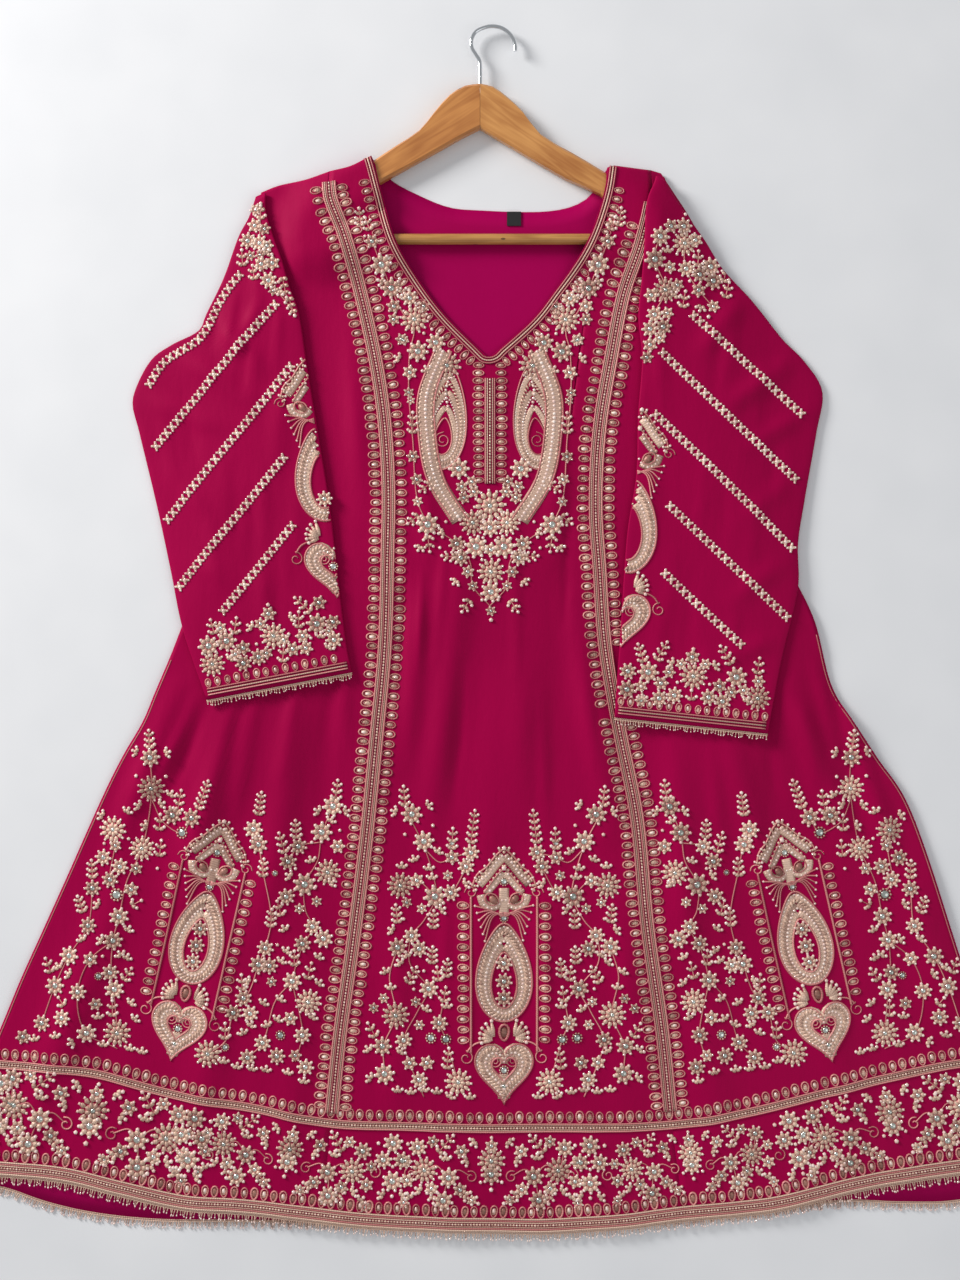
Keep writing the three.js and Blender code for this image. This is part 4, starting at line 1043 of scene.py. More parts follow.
CLOTH_FINISH = Finish(
    "magenta crepe", Effect.CLOTH, Colour(142, 0, 58), Colour(172, 0, 72),
    bump=0.45, depth=0.0016, specular=0.05,
)
INSIDE_FINISH = Finish(
    "magenta crepe inside", Effect.CLOTH, Colour(152, 0, 70), Colour(174, 0, 86),
    bump=0.2, depth=0.0008, specular=0.05,
)
THREADS = {
    Thread.ROSE: Finish(
        "rose gold thread", Effect.THREAD, Colour(168, 84, 88), Colour(244, 170, 162), 0.1, 0.5, 0.0002,
    ),
    Thread.ZARI: Finish(
        "champagne zari", Effect.THREAD, Colour(160, 118, 104), Colour(248, 214, 190), 0.12, 0.6, 0.0003,
    ),
    Thread.PEARL: Finish(
        "pearl bead", Effect.THREAD, Colour(226, 176, 166), Colour(255, 240, 230), 0.0, 0.1, 0.0001, coat=0.6,
        extra=(("Turns", 0.0), ("Polish", 0.12)),
    ),
    Thread.MIRROR: Finish(
        "mirror sequin", Effect.THREAD, Colour(150, 158, 150), Colour(236, 240, 232), 0.9, 0.1, 0.0001,
        extra=(("Turns", 0.0), ("Polish", 0.08)),
    ),
    Thread.SATIN: Finish(
        "rose brown satin stitch", Effect.THREAD, Colour(120, 78, 68), Colour(184, 132, 116),
        0.2, 0.5, 0.0002,
        extra=(("Turns", 260.0), ("Polish", 0.32)),
    ),
    Thread.GROUND: Finish(
        "magenta braid ground", Effect.CLOTH, Colour(112, 0, 46), Colour(140, 0, 60), specular=0.04,
    ),
}
WIRE_FINISH = Finish(
    "bright wire", Effect.PLAIN, Colour(190, 194, 198), Colour(236, 238, 240), 1.0, 0.05, 0.0001,
    extra=(("Polish", 0.08),),
)
LABEL_FINISH = Finish(
    "black woven tag", Effect.CLOTH, Colour(10, 9, 11), Colour(30, 28, 32), bump=0.5, depth=0.0003,
    extra=(("Weave", 5200.0),),
)
FLOOR_FINISH = Finish(
    "pale floor", Effect.PLAIN, Colour(226, 227, 230), Colour(240, 240, 242), bump=0.05, depth=0.0002,
    extra=(("Polish", 0.75),),
)


def wood_finish(name: str, turn: float, dark: Colour, light: Colour) -> Finish:
    """Describes varnished wood with its grain along a given direction."""
    extra = (("Turn", math.radians(-turn)),)
    return Finish(name, Effect.WOOD, dark, light, bump=0.25, depth=0.0003, coat=0.35, extra=extra)


# Needlework
@dataclass(frozen=True)
class Template:
    """A small worked shape, ready to be laid down many times."""

    points: np.ndarray
    triangles: np.ndarray
    threads: np.ndarray
    lay: np.ndarray


class TemplateBench:
    """Works small shapes out of domes, loops and rods, in their own unit."""

    def __init__(self) -> None:
        """Starts with nothing on the bench."""
        self.bm = bmesh.new()

    def _finish(self, verts: list, thread: Thread) -> None:
        """Gives the faces of new points their thread."""
        for face in {face for vert in verts for face in vert.link_faces}:
            face.material_index = int(thread)

    def dome(
        self, thread: Thread, at: Sequence[float], size: Size, turn: float = 0.0,
        sides: int = 6, rings: int = 3,
    ) -> "TemplateBench":
        """Adds a raised dome whose lower half sinks into the cloth.

        Args:
            thread: What it is made of.
            at: Its centre.
            size: Half length, half width and height.
            turn: Turn about Z in degrees.
            sides: Divisions round it.
            rings: Divisions over it.

        Returns:
            The bench.
        """
        turned = Matrix.Rotation(math.radians(turn), 4, "Z") @ Matrix.Diagonal((*size, 1.0))
        place = Matrix.Translation((at[0], at[1], 0.0)) @ turned
        made = bmesh.ops.create_uvsphere(
            self.bm, u_segments=sides, v_segments=rings, radius=1.0, matrix=place,
        )
        self._finish(made["verts"], thread)
        return self

    def spokes(self, angles: Sequence[float], *domes: tuple[Thread, float, Size, int]) -> None:
        """Adds domes on spokes from the middle; only a long dome is turned with its spoke.

        Args:
            angles: Direction of each spoke in degrees.
            domes: Thread, distance from the middle, size and sides of each dome on a spoke.
        """
        for angle in angles:
            out = np.array((math.cos(math.radians(angle)), math.sin(math.radians(angle))))
            for thread, reach, size, sides in domes:
                self.dome(thread, reach * out, size, turn=angle if size[0] != size[1] else 0.0, sides=sides)

    def loop(
        self, thread: Thread, outline: Callable[[float], tuple[float, float]], radius: float,
        steps: int, sides: int,
    ) -> "TemplateBench":
        """Adds a cord bent round a closed outline.

        Args:
            thread: What it is made of.
            outline: x and y of the outline for a share of the way round.
            radius: Radius of the cord.
            steps: Divisions along it.
            sides: Divisions round the cord.

        Returns:
            The bench.
        """
        turned = Matrix.Translation((1.0, 0.0, 0.0)) @ Matrix.Rotation(math.pi / 2, 4, "X")
        ring = bmesh.ops.create_circle(self.bm, segments=sides, radius=radius, matrix=turned)
        round_verts = set(ring["verts"])
        edges = [edge for edge in self.bm.edges if round_verts.issuperset(edge.verts)]
        before = set(self.bm.verts) - round_verts
        bmesh.ops.spin(self.bm, geom=ring["verts"] + edges, cent=(0, 0, 0), axis=(0, 0, 1), dvec=(0, 0, 0),
                       angle=2 * math.pi, steps=steps, use_merge=True)
        new = [vert for vert in self.bm.verts if vert not in before]
        for vert in new:
            angle = math.atan2(vert.co.y, vert.co.x)
            extra = math.hypot(vert.co.x, vert.co.y) - 1.0
            x, y = outline((angle / (2 * math.pi)) % 1.0)
            x, y = x + extra * math.cos(angle), y + extra * math.sin(angle)
            vert.co = Vector((x, y, vert.co.z + radius * 0.6))
        self._finish(new, thread)
        return self

    def rod(self, thread: Thread, parts: int, sides: int) -> "TemplateBench":
        """Adds a straight rod of unit length and radius along X.

        Args:
            thread: What it is made of.
            parts: Divisions along it.
            sides: Divisions round it.

        Returns:
            The bench.
        """
        place = Matrix.Translation((0.5, 0.0, 0.0)) @ Matrix.Rotation(math.pi / 2, 4, "Y")
        bmesh.ops.create_cone(
            self.bm, cap_ends=True, segments=sides, radius1=1.0, radius2=1.0, depth=1.0, matrix=place,
        )
        long = [edge for edge in self.bm.edges if abs(edge.verts[0].co.x - edge.verts[1].co.x) > 0.5]
        if parts > 1:
            bmesh.ops.subdivide_edges(self.bm, edges=long, cuts=parts - 1, use_grid_fill=True)
        self._finish(list(self.bm.verts), thread)
        return self

    def baked(self) -> Template:
        """Takes the finished shape off the bench.

        Returns:
            The template.
        """
        bmesh.ops.recalc_face_normals(self.bm, faces=self.bm.faces)
        bmesh.ops.triangulate(self.bm, faces=self.bm.faces)
        self.bm.verts.index_update()
        points = np.array([vert.co[:] for vert in self.bm.verts])
        triangles = np.array([[vert.index for vert in face.verts] for face in self.bm.faces])
        threads = np.array([face.material_index for face in self.bm.faces])
        self.bm.free()
        turn = np.arctan2(points[:, 2], points[:, 1]) / (2 * math.pi) % 1.0
        corner = turn[triangles]
        across_seam = np.ptp(corner, axis=1)[:, None] > 0.5
        corner = np.where(across_seam & (corner < 0.5), corner + 1.0, corner)
        lay = np.stack((points[triangles, 0], corner), axis=-1)
        return Template(points, triangles, threads, lay)


TONGUE_WIDTH = 0.66


def tongue(share: float) -> tuple[float, float]:
    """Outline of a leaf loop: narrow at its root and round at its far end."""
    angle = 2 * math.pi * share
    return 0.5 + 0.5 * math.cos(angle), TONGUE_WIDTH / 2 * math.sin(angle) * (0.86 + 0.16 * math.cos(angle))


def small_curl(share: float) -> tuple[float, float]:
    """Outline of the small loop inside a leaf."""
    angle = 2 * math.pi * share
    return 0.64 + 0.17 * math.cos(angle), 0.13 * math.sin(angle)


def leaf(filling: Thread, at: float, size: Size, sides: int = 6, cord_sides: int = 3) -> TemplateBench:
    """Starts a leaf: a rose cord round its filling."""
    bench = TemplateBench().loop(Thread.ROSE, tongue, 0.08, 12, cord_sides)
    return bench.dome(filling, (at, 0.0), size, sides=sides)


def leaf_with_curl() -> Template:
    """Works a leaf with a small curl on its champagne filling."""
    return leaf(Thread.ZARI, 0.46, (0.36, 0.23, 0.07)).loop(Thread.ROSE, small_curl, 0.05, 6, 3).baked()


def leaf_with_glint() -> Template:
    """Works a leaf with a pale pearl dome in its filling: a painted highlight for a sequin's glint."""
    bench = leaf(Thread.ZARI, 0.5, (0.38, 0.24, 0.08))
    # the pearl dome is a painted highlight, pale in itself, where a sequin would glint
    return bench.dome(Thread.PEARL, (0.55, 0.02), (0.24, 0.14, 0.13), 12.0).baked()


def leaf_of_satin() -> Template:
    """Works a leaf filled with darker satin stitch."""
    return leaf(Thread.SATIN, 0.5, (0.4, 0.26, 0.1), 8, 4).baked()


def flower(petals: int) -> Template:
    """Works a flower: padded petals, a bead at each tip, a mirror in the middle.

    Args:
        petals: Number of petals.

    Returns:
        The template, one unit from its middle to its tips.
    """
    bench = TemplateBench()
    petal = (0.28, 0.72 * math.sin(math.pi / petals), 0.24)
    angles = [360 * k / petals for k in range(petals)]
    bench.spokes(angles, (Thread.ZARI, 0.6, petal, 6), (Thread.PEARL, 0.86, (0.18, 0.18, 0.26), 5))
    bench.dome(Thread.ROSE, (0.0, 0.0), (0.62, 0.62, 0.1), sides=10)
    bench.dome(Thread.MIRROR, (0.0, 0.0), (0.36, 0.36, 0.24), sides=8)
    return bench.baked()


def full_flower() -> Template:
    """Works a large flower with two rounds of petals."""
    bench = TemplateBench()
    outer = ((Thread.ZARI, 0.7, (0.26, 0.19, 0.13), 5), (Thread.PEARL, 0.94, (0.12, 0.12, 0.16), 4))
    bench.spokes([30 * k + 15 for k in range(12)], *outer)
    bench.spokes([45 * k for k in range(8)], (Thread.ZARI, 0.34, (0.24, 0.15, 0.24), 5))
    bench.dome(Thread.ROSE, (0.0, 0.0), (0.55, 0.55, 0.13), sides=10)
    bench.dome(Thread.MIRROR, (0.0, 0.0), (0.2, 0.2, 0.28), sides=8)
    return bench.baked()


def single(thread: Thread, length: float, width: float, height: float, sides: int = 6) -> Template:
    """Works one dome, a unit long."""
    return TemplateBench().dome(thread, (0.0, 0.0), (length, width, height), sides=sides).baked()


def mirror_disc() -> Template:
    """Works a round mirror in a beaded ring."""
    bench = TemplateBench()
    bench.dome(Thread.MIRROR, (0.0, 0.0), (0.72, 0.72, 0.3), sides=10, rings=4)
    bench.spokes([36 * k for k in range(10)], (Thread.ZARI, 0.86, (0.2, 0.24, 0.28), 4))
    return bench.baked()


def quatrefoil() -> Template:
    """Works one cross of a vine: four petals with beaded tips."""
    bench = TemplateBench()
    bench.dome(Thread.PEARL, (0.0, 0.0), (0.5, 0.46, 0.3), sides=6)
    bench.spokes(
        (52, 128, 232, 308), (Thread.ZARI, 0.5, (0.44, 0.38, 0.27), 5),
        (Thread.PEARL, 0.82, (0.31, 0.31, 0.32), 4),
    )
    return bench.baked()


def lace_tick() -> Template:
    """Works one hanging stitch of the lace: a thread with a bead at its end."""
    bench = TemplateBench()
    bench.dome(Thread.ZARI, (0.4, 0.0), (0.42, 0.14, 0.1), sides=5)
    bench.dome(Thread.PEARL, (0.86, 0.0), (0.15, 0.17, 0.15), sides=5)
    return bench.baked()


class Kit:
    """The templates, each worked once."""

    def __init__(self) -> None:
        """Works them."""
        self.shapes: dict[str, Template] = {
            "leaf_curl": leaf_with_curl(),
            "leaf_glint": leaf_with_glint(),
            "leaf_satin": leaf_of_satin(),
            "flower6": flower(6),
            "flower8": flower(8),
            "flower_full": full_flower(),
            "bead": single(Thread.PEARL, 1.0, 1.0, 1.0, 5),
            "zari_bead": single(Thread.ZARI, 1.0, 1.0, 0.8, 5),
            "petal": single(Thread.ZARI, 1.0, 1.0, 1.0, 6),
            "satin_petal": single(Thread.SATIN, 1.0, 1.0, 1.0, 8),
            "mirror": mirror_disc(),
            "quatrefoil": quatrefoil(),
            "tick": lace_tick(),
        }
        self._rods: dict[tuple[int, int, Thread], Template] = {}

    def rod(self, parts: int, sides: int, thread: Thread) -> Template:
        """Finds or works a rod.

        Args:
            parts: Divisions along it.
            sides: Divisions round it.
            thread: What it is made of.

        Returns:
            The template.
        """
        key = (parts, sides, thread)
        if key not in self._rods:
            self._rods[key] = TemplateBench().rod(thread, parts, sides).baked()
        return self._rods[key]


@dataclass(frozen=True)
class Placement:
    """Carries a motif's own units, u to the right and w downwards, onto the plan."""

    x: float = 0.0
    y: float = 0.0
    turn: float = 0.0
    scale: float = 1.0
    flipped: bool = False

    def points(self, rows: Rows) -> np.ndarray:
        """Places points.

        Args:
            rows: u and w of each.

        Returns:
            Plan points in metres.
        """
        own = np.asarray([row[:2] for row in rows], float)
        u = -own[:, 0] if self.flipped else own[:, 0]
        c, s = math.cos(math.radians(self.turn)), math.sin(math.radians(self.turn))
        across, up = self.scale * (u * c + own[:, 1] * s), self.scale * (u * s - own[:, 1] * c)
        return from_plan(np.column_stack((self.x + across, self.y - up)))

    def angle(self, degrees: np.ndarray) -> np.ndarray:
        """Places directions."""
        own = 180.0 - np.asarray(degrees) if self.flipped else np.asarray(degrees)
        return np.radians(own + self.turn)


class Needlework:
    """Collects worked details in plan and lays them on cloth as one mesh."""

    UNEVEN_TURN = 0.03  # radians
    MOST_DIVISIONS = 512
    DRAWN_BY_HAND = 100  # a line with fewer points is made smooth first

    def __init__(self, kit: Kit, seed: int, keep: Callable[[np.ndarray], np.ndarray] | None = None) -> None:
        """Starts an empty piece.

        Args:
            kit: The templates.
            seed: Number that fixes its small unevenness.
            keep: Says how far inside its region a plan point lies.
        """
        self.kit = kit
        self.random = np.random.default_rng(seed)
        self.keep = keep
        self.parts: list[tuple[np.ndarray, ...]] = []  # plan, rise, triangles, threads, lay and shade of each

    def lay_down(
        self, shape: str, at: np.ndarray, angle: Values, length: Values, width: Values | None = None,
        height: Values | None = None, lift: float = 0.0,
    ) -> None:
        """Lays a template down at several places.

        Args:
            shape: Name of the template.
            at: Plan points.
            angle: Direction of its length, in radians.
            length: Its scale along its length, in metres.
            width: Its scale across, the same as its length if left out.
            height: Its scale upwards, the same as its length if left out.
            lift: Height above the cloth.
        """
        at = np.atleast_2d(at)
        sizes = (length, length if width is None else width, length if height is None else height)
        angle, length, width, height = (np.broadcast_to(value, len(at)) for value in (angle, *sizes))
        if self.keep is not None:
            held = self.keep(at) > 0.5 * np.maximum(length, width)
            at, angle, length, width, height = (value[held] for value in (at, angle, length, width, height))
        if len(at) == 0:
            return
        template = self.kit.shapes[shape]
        own = template.points
        turn = angle + self.random.normal(0.0, self.UNEVEN_TURN, len(at))
        along, across = length[:, None] * own[:, 0], width[:, None] * own[:, 1]
        c, s = np.cos(turn)[:, None], np.sin(turn)[:, None]
        x = at[:, 0, None] + along * c - across * s
        y = at[:, 1, None] + along * s + across * c
        rise = height[:, None] * own[:, 2] + lift
        self._add(template, np.stack((x, y), axis=-1), rise, length)

    def _add(self, template: Template, plan: np.ndarray, rise: np.ndarray, scale: np.ndarray) -> None:
        """Keeps the laid copies of a template."""
        count, size = rise.shape
        first = (np.arange(count) * size)[:, None, None]
        triangles = (template.triangles[None] + first).reshape(-1, 3)
        lay = np.broadcast_to(template.lay[None], (count, *template.lay.shape)).copy()
        lay[..., 0] *= scale[:, None, None]
        shade = np.repeat(self.random.uniform(0.0, 1.0, count), size)
        threads = np.tile(template.threads, count)
        plan, rise, lay = plan.reshape(-1, 2), rise.reshape(-1), lay.reshape(-1, 2)
        self.parts.append((plan, rise, triangles, threads, lay, shade))

    def cord(
        self, line: np.ndarray, radius: float, thread: Thread = Thread.ROSE, flat: float = 1.0,
        lift: float = 0.0, step: float = 3.4 * MM, sides: int = 4,
    ) -> None:
        """Lays a cord along a line.

        Args:
            line: Plan points of the line.
            radius: Radius of the cord, across the cloth.
            thread: What it is made of.
            flat: Its height as a share of its width.
            lift: Height of its middle above the cloth.
            step: Length of each division.
            sides: Divisions round it.
        """
        points = Path(np.asarray(line)).points if 2 < len(line) < self.DRAWN_BY_HAND else np.asarray(line)
        if self.keep is not None:
            points = self._longest_inside(points, radius)
        if len(points) < 3:
            return
        run = np.concatenate(([0.0], np.cumsum(np.hypot(*np.diff(points, axis=0).T))))
        if run[-1] < 1e-5:
            return
        parts = int(np.clip(2 ** math.ceil(math.log2(max(run[-1] / step, 2.0))), 2, self.MOST_DIVISIONS))
        template = self.kit.rod(parts, sides, thread)
        distance = template.points[:, 0] * run[-1]

        def read(where: np.ndarray) -> np.ndarray:
            return np.column_stack([np.interp(where, run, points[:, axis]) for axis in (0, 1)])

        near = min(step, run[-1] / 4)
        along = read(np.minimum(distance + near, run[-1])) - read(np.maximum(distance - near, 0.0))
        along /= np.maximum(np.hypot(*along.T), 1e-9)[:, None]
        plan = read(distance) + square_to(along) * (template.points[:, 1] * radius)[:, None]
        rise = lift + template.points[:, 2] * radius * flat
        self._add(template, plan[None], rise[None], np.array([run[-1]]))

    def _longest_inside(self, points: np.ndarray, radius: float) -> np.ndarray:
        """Cuts a line down to its longest stretch within the region."""
        held = np.concatenate(([False], self.keep(points) > radius, [False]))
        turns = np.flatnonzero(held[1:] != held[:-1]).reshape(-1, 2)
        if len(turns) == 0:
            return points[:0]
        start, end = turns[np.argmax(turns[:, 1] - turns[:, 0])]
        return points[start:end]

    def build(self, name: str, cloth: HeightField) -> bpy.types.Object:
        """Lays everything on the cloth.

        Args:
            name: Name of the piece.
            cloth: Height of the cloth's upper face.

        Returns:
            The joined piece.
        """
        plans, rises, faces, threads, lays, shades = zip(*self.parts)
        starts = np.cumsum([0] + [len(part) for part in plans[:-1]])
        plan = np.vstack(plans)
        points = np.column_stack((plan, cloth.at(plan) + np.concatenate(rises)))
        triangles = np.vstack([part + start for part, start in zip(faces, starts)])
        mesh = bpy.data.meshes.new(name)
        mesh.vertices.add(len(points))
        mesh.vertices.foreach_set("co", points.ravel())
        mesh.loops.add(triangles.size)
        mesh.loops.foreach_set("vertex_index", triangles.ravel())
        mesh.polygons.add(len(triangles))
        mesh.polygons.foreach_set("loop_start", np.arange(0, triangles.size, 3))
        mesh.polygons.foreach_set("loop_total", np.full(len(triangles), 3))
        mesh.polygons.foreach_set("material_index", np.concatenate(threads))
        mesh.polygons.foreach_set("use_smooth", np.ones(len(triangles), bool))
        mesh.update(calc_edges=True)
        mesh.uv_layers.new(name="lay").data.foreach_set("uv", np.vstack(lays).ravel())
        shade = mesh.attributes.new("shade", "FLOAT", "POINT")
        shade.data.foreach_set("value", np.concatenate(shades))
        for thread in Thread:
            mesh.materials.append(THREADS[thread].material())
        made = bpy.data.objects.new(name, mesh)
        bpy.context.scene.collection.objects.link(made)
        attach(made, "root")
        LOG.info("%s: %d triangles", name, len(triangles))
        return made


@dataclass(frozen=True)
class Hand:
    """Works single motifs at a placement, in its own units."""

    work: Needlework
    place: Placement = Placement()

    FULL_FROM = 11.5  # least radius of a flower with two rounds of petals
    EIGHT_FROM = 7.5  # least radius of a flower with eight petals
    TALLEST = 8.5  # radius from which a flower grows no taller

    def _size(self, units: Values) -> Values:
        """Turns own units into metres."""
        return units * self.place.scale * UNIT

    def flower(self, u: float, w: float, radius: float) -> None:
        """Works a flower whose fullness follows its size."""
        small = "flower8" if radius >= self.EIGHT_FROM else "flower6"
        shape = "flower_full" if radius >= self.FULL_FROM else small
        turn = self.work.random.uniform(0, 60)
        at = self.place.points([[u, w]])
        height = self._size(min(radius, self.TALLEST))
        self.work.lay_down(shape, at, self.place.angle(turn), self._size(radius * 1.1), height=height)

    def bead(self, u: float, w: float, radius: float = 1.8, shape: str = "bead") -> None:
        """Works one bead."""
        self.work.lay_down(shape, self.place.points([[u, w]]), 0.0, self._size(radius))

    def petal(
        self, u: float, w: float, degrees: float, length: float, width: float, shape: str = "petal",
    ) -> None:
        """Works one padded petal from its root outwards."""
        half = length / 2
        angle = math.radians(degrees)
        at = self.place.points([[u + half * math.cos(angle), w - half * math.sin(angle)]])
        sizes = [self._size(units) for units in (half, width / 2, width * 0.4)]
        self.work.lay_down(shape, at, self.place.angle(degrees), *sizes)

    def tipped(self, u: float, w: float, degrees: float, length: float, width: float) -> None:
        """Works a petal with a bead at its tip."""
        self.petal(u, w, degrees, length, width)
        angle = math.radians(degrees)
        self.bead(u + length * math.cos(angle), w - length * math.sin(angle), width * 0.46)

    def leaf(self, u: float, w: float, degrees: float, length: float, width: float) -> None:
        """Works a leaf of satin stitch from its root outwards."""
        sizes = [self._size(units) for units in (length, width / TONGUE_WIDTH, length * 0.9)]
        self.work.lay_down("leaf_satin", self.place.points([[u, w]]), self.place.angle(degrees), *sizes)

    def cord(self, rows: Rows, radius: float = 0.55, thread: Thread = Thread.ROSE) -> None:
        """Works a couched cord."""
        self.work.cord(self.place.points(rows), self._size(radius), thread, lift=self._size(radius * 0.5))

    def tape(self, rows: Rows, radius: float, thread: Thread = Thread.ZARI) -> None:
        """Works a flat filling of laid thread along a line."""
        line, wide = self.place.points(rows), self._size(radius)
        self.work.cord(line, wide, thread, flat=0.12, lift=0.1 * MM, step=6 * MM, sides=6)

    def curl(self, u: float, w: float, radius: float, start: float, turns: float) -> None:
        """Works a spiral cord that winds inwards from its start angle."""
        rows = []
        for k in range(12):
            share = k / 11
            angle = math.radians(start + 360 * turns * share)
            reach = radius * (1 - 0.72 * share)
            rows.append([u + reach * math.cos(angle), w - reach * math.sin(angle)])
        self.cord(rows, 0.6)

    def triad(self, u: float, w: float, degrees: float, size: float = 5.6) -> None:
        """Works three tipped petals from one root."""
        for turn in (-55, 0, 55):
            self.tipped(u, w, degrees + turn, size, size * 0.78)

    def sprig(self, rows: Rows, pitch: float = 5.6, size: float = 6.0) -> None:
        """Works a stem with pairs of tipped petals and a bead at its end."""
        line = np.asarray(rows, float)
        run = np.concatenate(([0.0], np.cumsum(np.hypot(*np.diff(line, axis=0).T))))
        self.cord(rows if len(rows) > 2 else [rows[0], ((line[0] + line[1]) / 2).tolist(), rows[1]], 0.5)
        count = max(1, int(run[-1] / pitch))
        for k in range(count):
            distance = run[-1] * k / count
            u, w = (float(np.interp(distance, run, line[:, axis])) for axis in (0, 1))
            ahead = [float(np.interp(distance + 1.0, run, line[:, axis])) for axis in (0, 1)]
            degrees = math.degrees(math.atan2(w - ahead[1], ahead[0] - u))
            shrink = 1 - 0.25 * k / count
            for side in (-52, 52):
                self.tipped(u, w, degrees + side, size * shrink, size * 0.74 * shrink)
        self.bead(float(line[-1][0]), float(line[-1][1]), size * 0.36)

    def beads(
        self, rows: Rows, pitch: float, radius: float, shape: str = "bead", closed: bool = False,
    ) -> None:
        """Works a string of beads along a line."""
        points = self.place.points(list(rows) + ([rows[0]] if closed else []))
        path = Path(points)
        count = max(2, int(path.length / self._size(pitch)))
        at = path.share(np.linspace(0, 1, count, endpoint=not closed))
        self.work.lay_down(shape, at, 0.0, self._size(radius) * self.work.random.uniform(0.88, 1.1, len(at)))

    def leaves(self, rows: Rows, pitch: float, side: float, length: float, width: float) -> None:
        """Works a row of leaf loops along a line, standing off it to one side."""
        path = Path(self.place.points(rows))
        leaf_row(self.work, path, self._size(pitch), side, self._size(length), self._size(width))


def leaf_row(
    work: Needlework, path: Path, pitch: float, side: float, length: float, width: float,
    shapes: Sequence[str] = ("leaf_curl", "leaf_glint"), offset: float = 0.0,
) -> None:
    """Works leaf loops at equal steps along a line.

    Args:
        work: The piece of needlework.
        path: The line.
        pitch: Step between leaves.
        side: One for the left of the line, minus one for its right.
        length: Length of a leaf.
        width: Width of a leaf.
        shapes: Templates, used in turn.
        offset: Distance from the line to the root of a leaf.
    """
    count = max(2, int(path.length / pitch))
    at, along, _ = path.stations(count)
    out = side * square_to(along)
    angle = np.arctan2(out[:, 1], out[:, 0])
    at = at + out * offset
    turn_of = np.arange(count) % len(shapes)
    uneven = work.random.uniform(0.93, 1.07, count)
    for k, shape in enumerate(shapes):
        chosen = turn_of == k
        long, wide = length * uneven[chosen], width / TONGUE_WIDTH * uneven[chosen]
        work.lay_down(shape, at[chosen], angle[chosen], long, wide, length * 0.85)


# Braids and lace
@dataclass(frozen=True)
class Braid:
    """A corded braid: a tape with cords along it and a track of small sequins."""

    name: str
    node: str
    width: float
    cords: Sequence[tuple[float, Thread, float]]
    sequins: float | None = 0.0

    SEQUIN_PITCH = 3.2 * MM

    def build(self, kit: Kit, path: Path, cloth: HeightField) -> bpy.types.Object:
        """Makes the braid.

        Args:
            kit: The templates.
            path: Its middle line.
            cloth: What it lies on.

        Returns:
            The braid, standing for its node.
        """
        work = Needlework(kit, len(self.name))
        work.cord(path.points, self.width / 2, Thread.GROUND, flat=0.09, lift=0.45 * MM, step=5 * MM, sides=8)
        for offset, thread, radius in self.cords:
            beside = path.beside(offset * self.width / 2)
            work.cord(beside.points, radius, thread, lift=1.0 * MM, step=5 * MM, sides=5)
        if self.sequins is not None:
            line = path.beside(self.sequins * self.width / 2)
            at, _, angle = line.stations(int(line.length / self.SEQUIN_PITCH))
            work.lay_down("zari_bead", at, angle, 1.9 * MM, 1.3 * MM, 0.7 * MM, lift=1.05 * MM)
            work.lay_down("bead", at[::3], angle[::3], 0.8 * MM, lift=1.5 * MM)
        made = work.build(self.name, cloth)
        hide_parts(self.node)
        return made


# Cords: place across the braid from minus one to one, thread, radius
BAND_CORDS = [
    (-0.88, Thread.ROSE, 0.9 * MM), (-0.61, Thread.ZARI, 0.75 * MM), (-0.36, Thread.ROSE, 0.7 * MM),
    (0.36, Thread.ROSE, 0.7 * MM), (0.61, Thread.ZARI, 0.75 * MM), (0.88, Thread.ROSE, 0.9 * MM),
]
NECK_CORDS = [(-0.7, Thread.ROSE, 0.75 * MM), (0.0, Thread.ZARI, 0.8 * MM), (0.7, Thread.ROSE, 0.75 * MM)]
WIDE_CORDS = [
    (-0.88, Thread.ZARI, 0.9 * MM), (-0.6, Thread.ROSE, 0.75 * MM), (-0.34, Thread.ZARI, 0.75 * MM),
    (0.34, Thread.ZARI, 0.75 * MM), (0.6, Thread.ROSE, 0.75 * MM), (0.88, Thread.ZARI, 0.9 * MM),
]
HEM_CORDS = [
    (-0.8, Thread.ROSE, 0.8 * MM), (-0.45, Thread.ZARI, 0.6 * MM),
    (0.45, Thread.ZARI, 0.6 * MM), (0.8, Thread.ROSE, 0.8 * MM),
]


@dataclass(frozen=True)
class Lace:
    """A narrow metallic edging: a header cord and close hanging stitches."""

    name: str
    node: str
    long: float
    pitch: float = 2.6 * MM

    def build(self, kit: Kit, path: Path, cloth: HeightField, side: float) -> bpy.types.Object:
        """Makes the lace.

        Args:
            kit: The templates.
            path: Its root line.
            cloth: What it lies level with.
            side: One to hang to the left of the line, minus one to its right.

        Returns:
            The lace, standing for its node.
        """
        work = Needlework(kit, len(self.name) + 3)
        for offset, radius in ((0.6, 0.8), (2.2, 0.55)):
            work.cord(path.beside(side * offset * MM).points, radius * MM, Thread.ZARI, step=4 * MM, sides=5)
        count = int(path.length / self.pitch)
        at, along, _ = path.stations(count)
        out = side * square_to(along)
        sway = 0.16 * np.sin(np.arange(count) * 1.7) + work.random.normal(0, 0.1, count)
        length = self.long * (0.62 + 0.38 * np.abs(np.sin(np.arange(count) * math.pi / 6.5)))
        angle = np.arctan2(out[:, 1], out[:, 0]) + sway
        work.lay_down("tick", at + out * 0.8 * MM, angle, length, self.pitch * 1.9, self.pitch * 1.9)
        made = work.build(self.name, cloth)
        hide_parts(self.node)
        return made


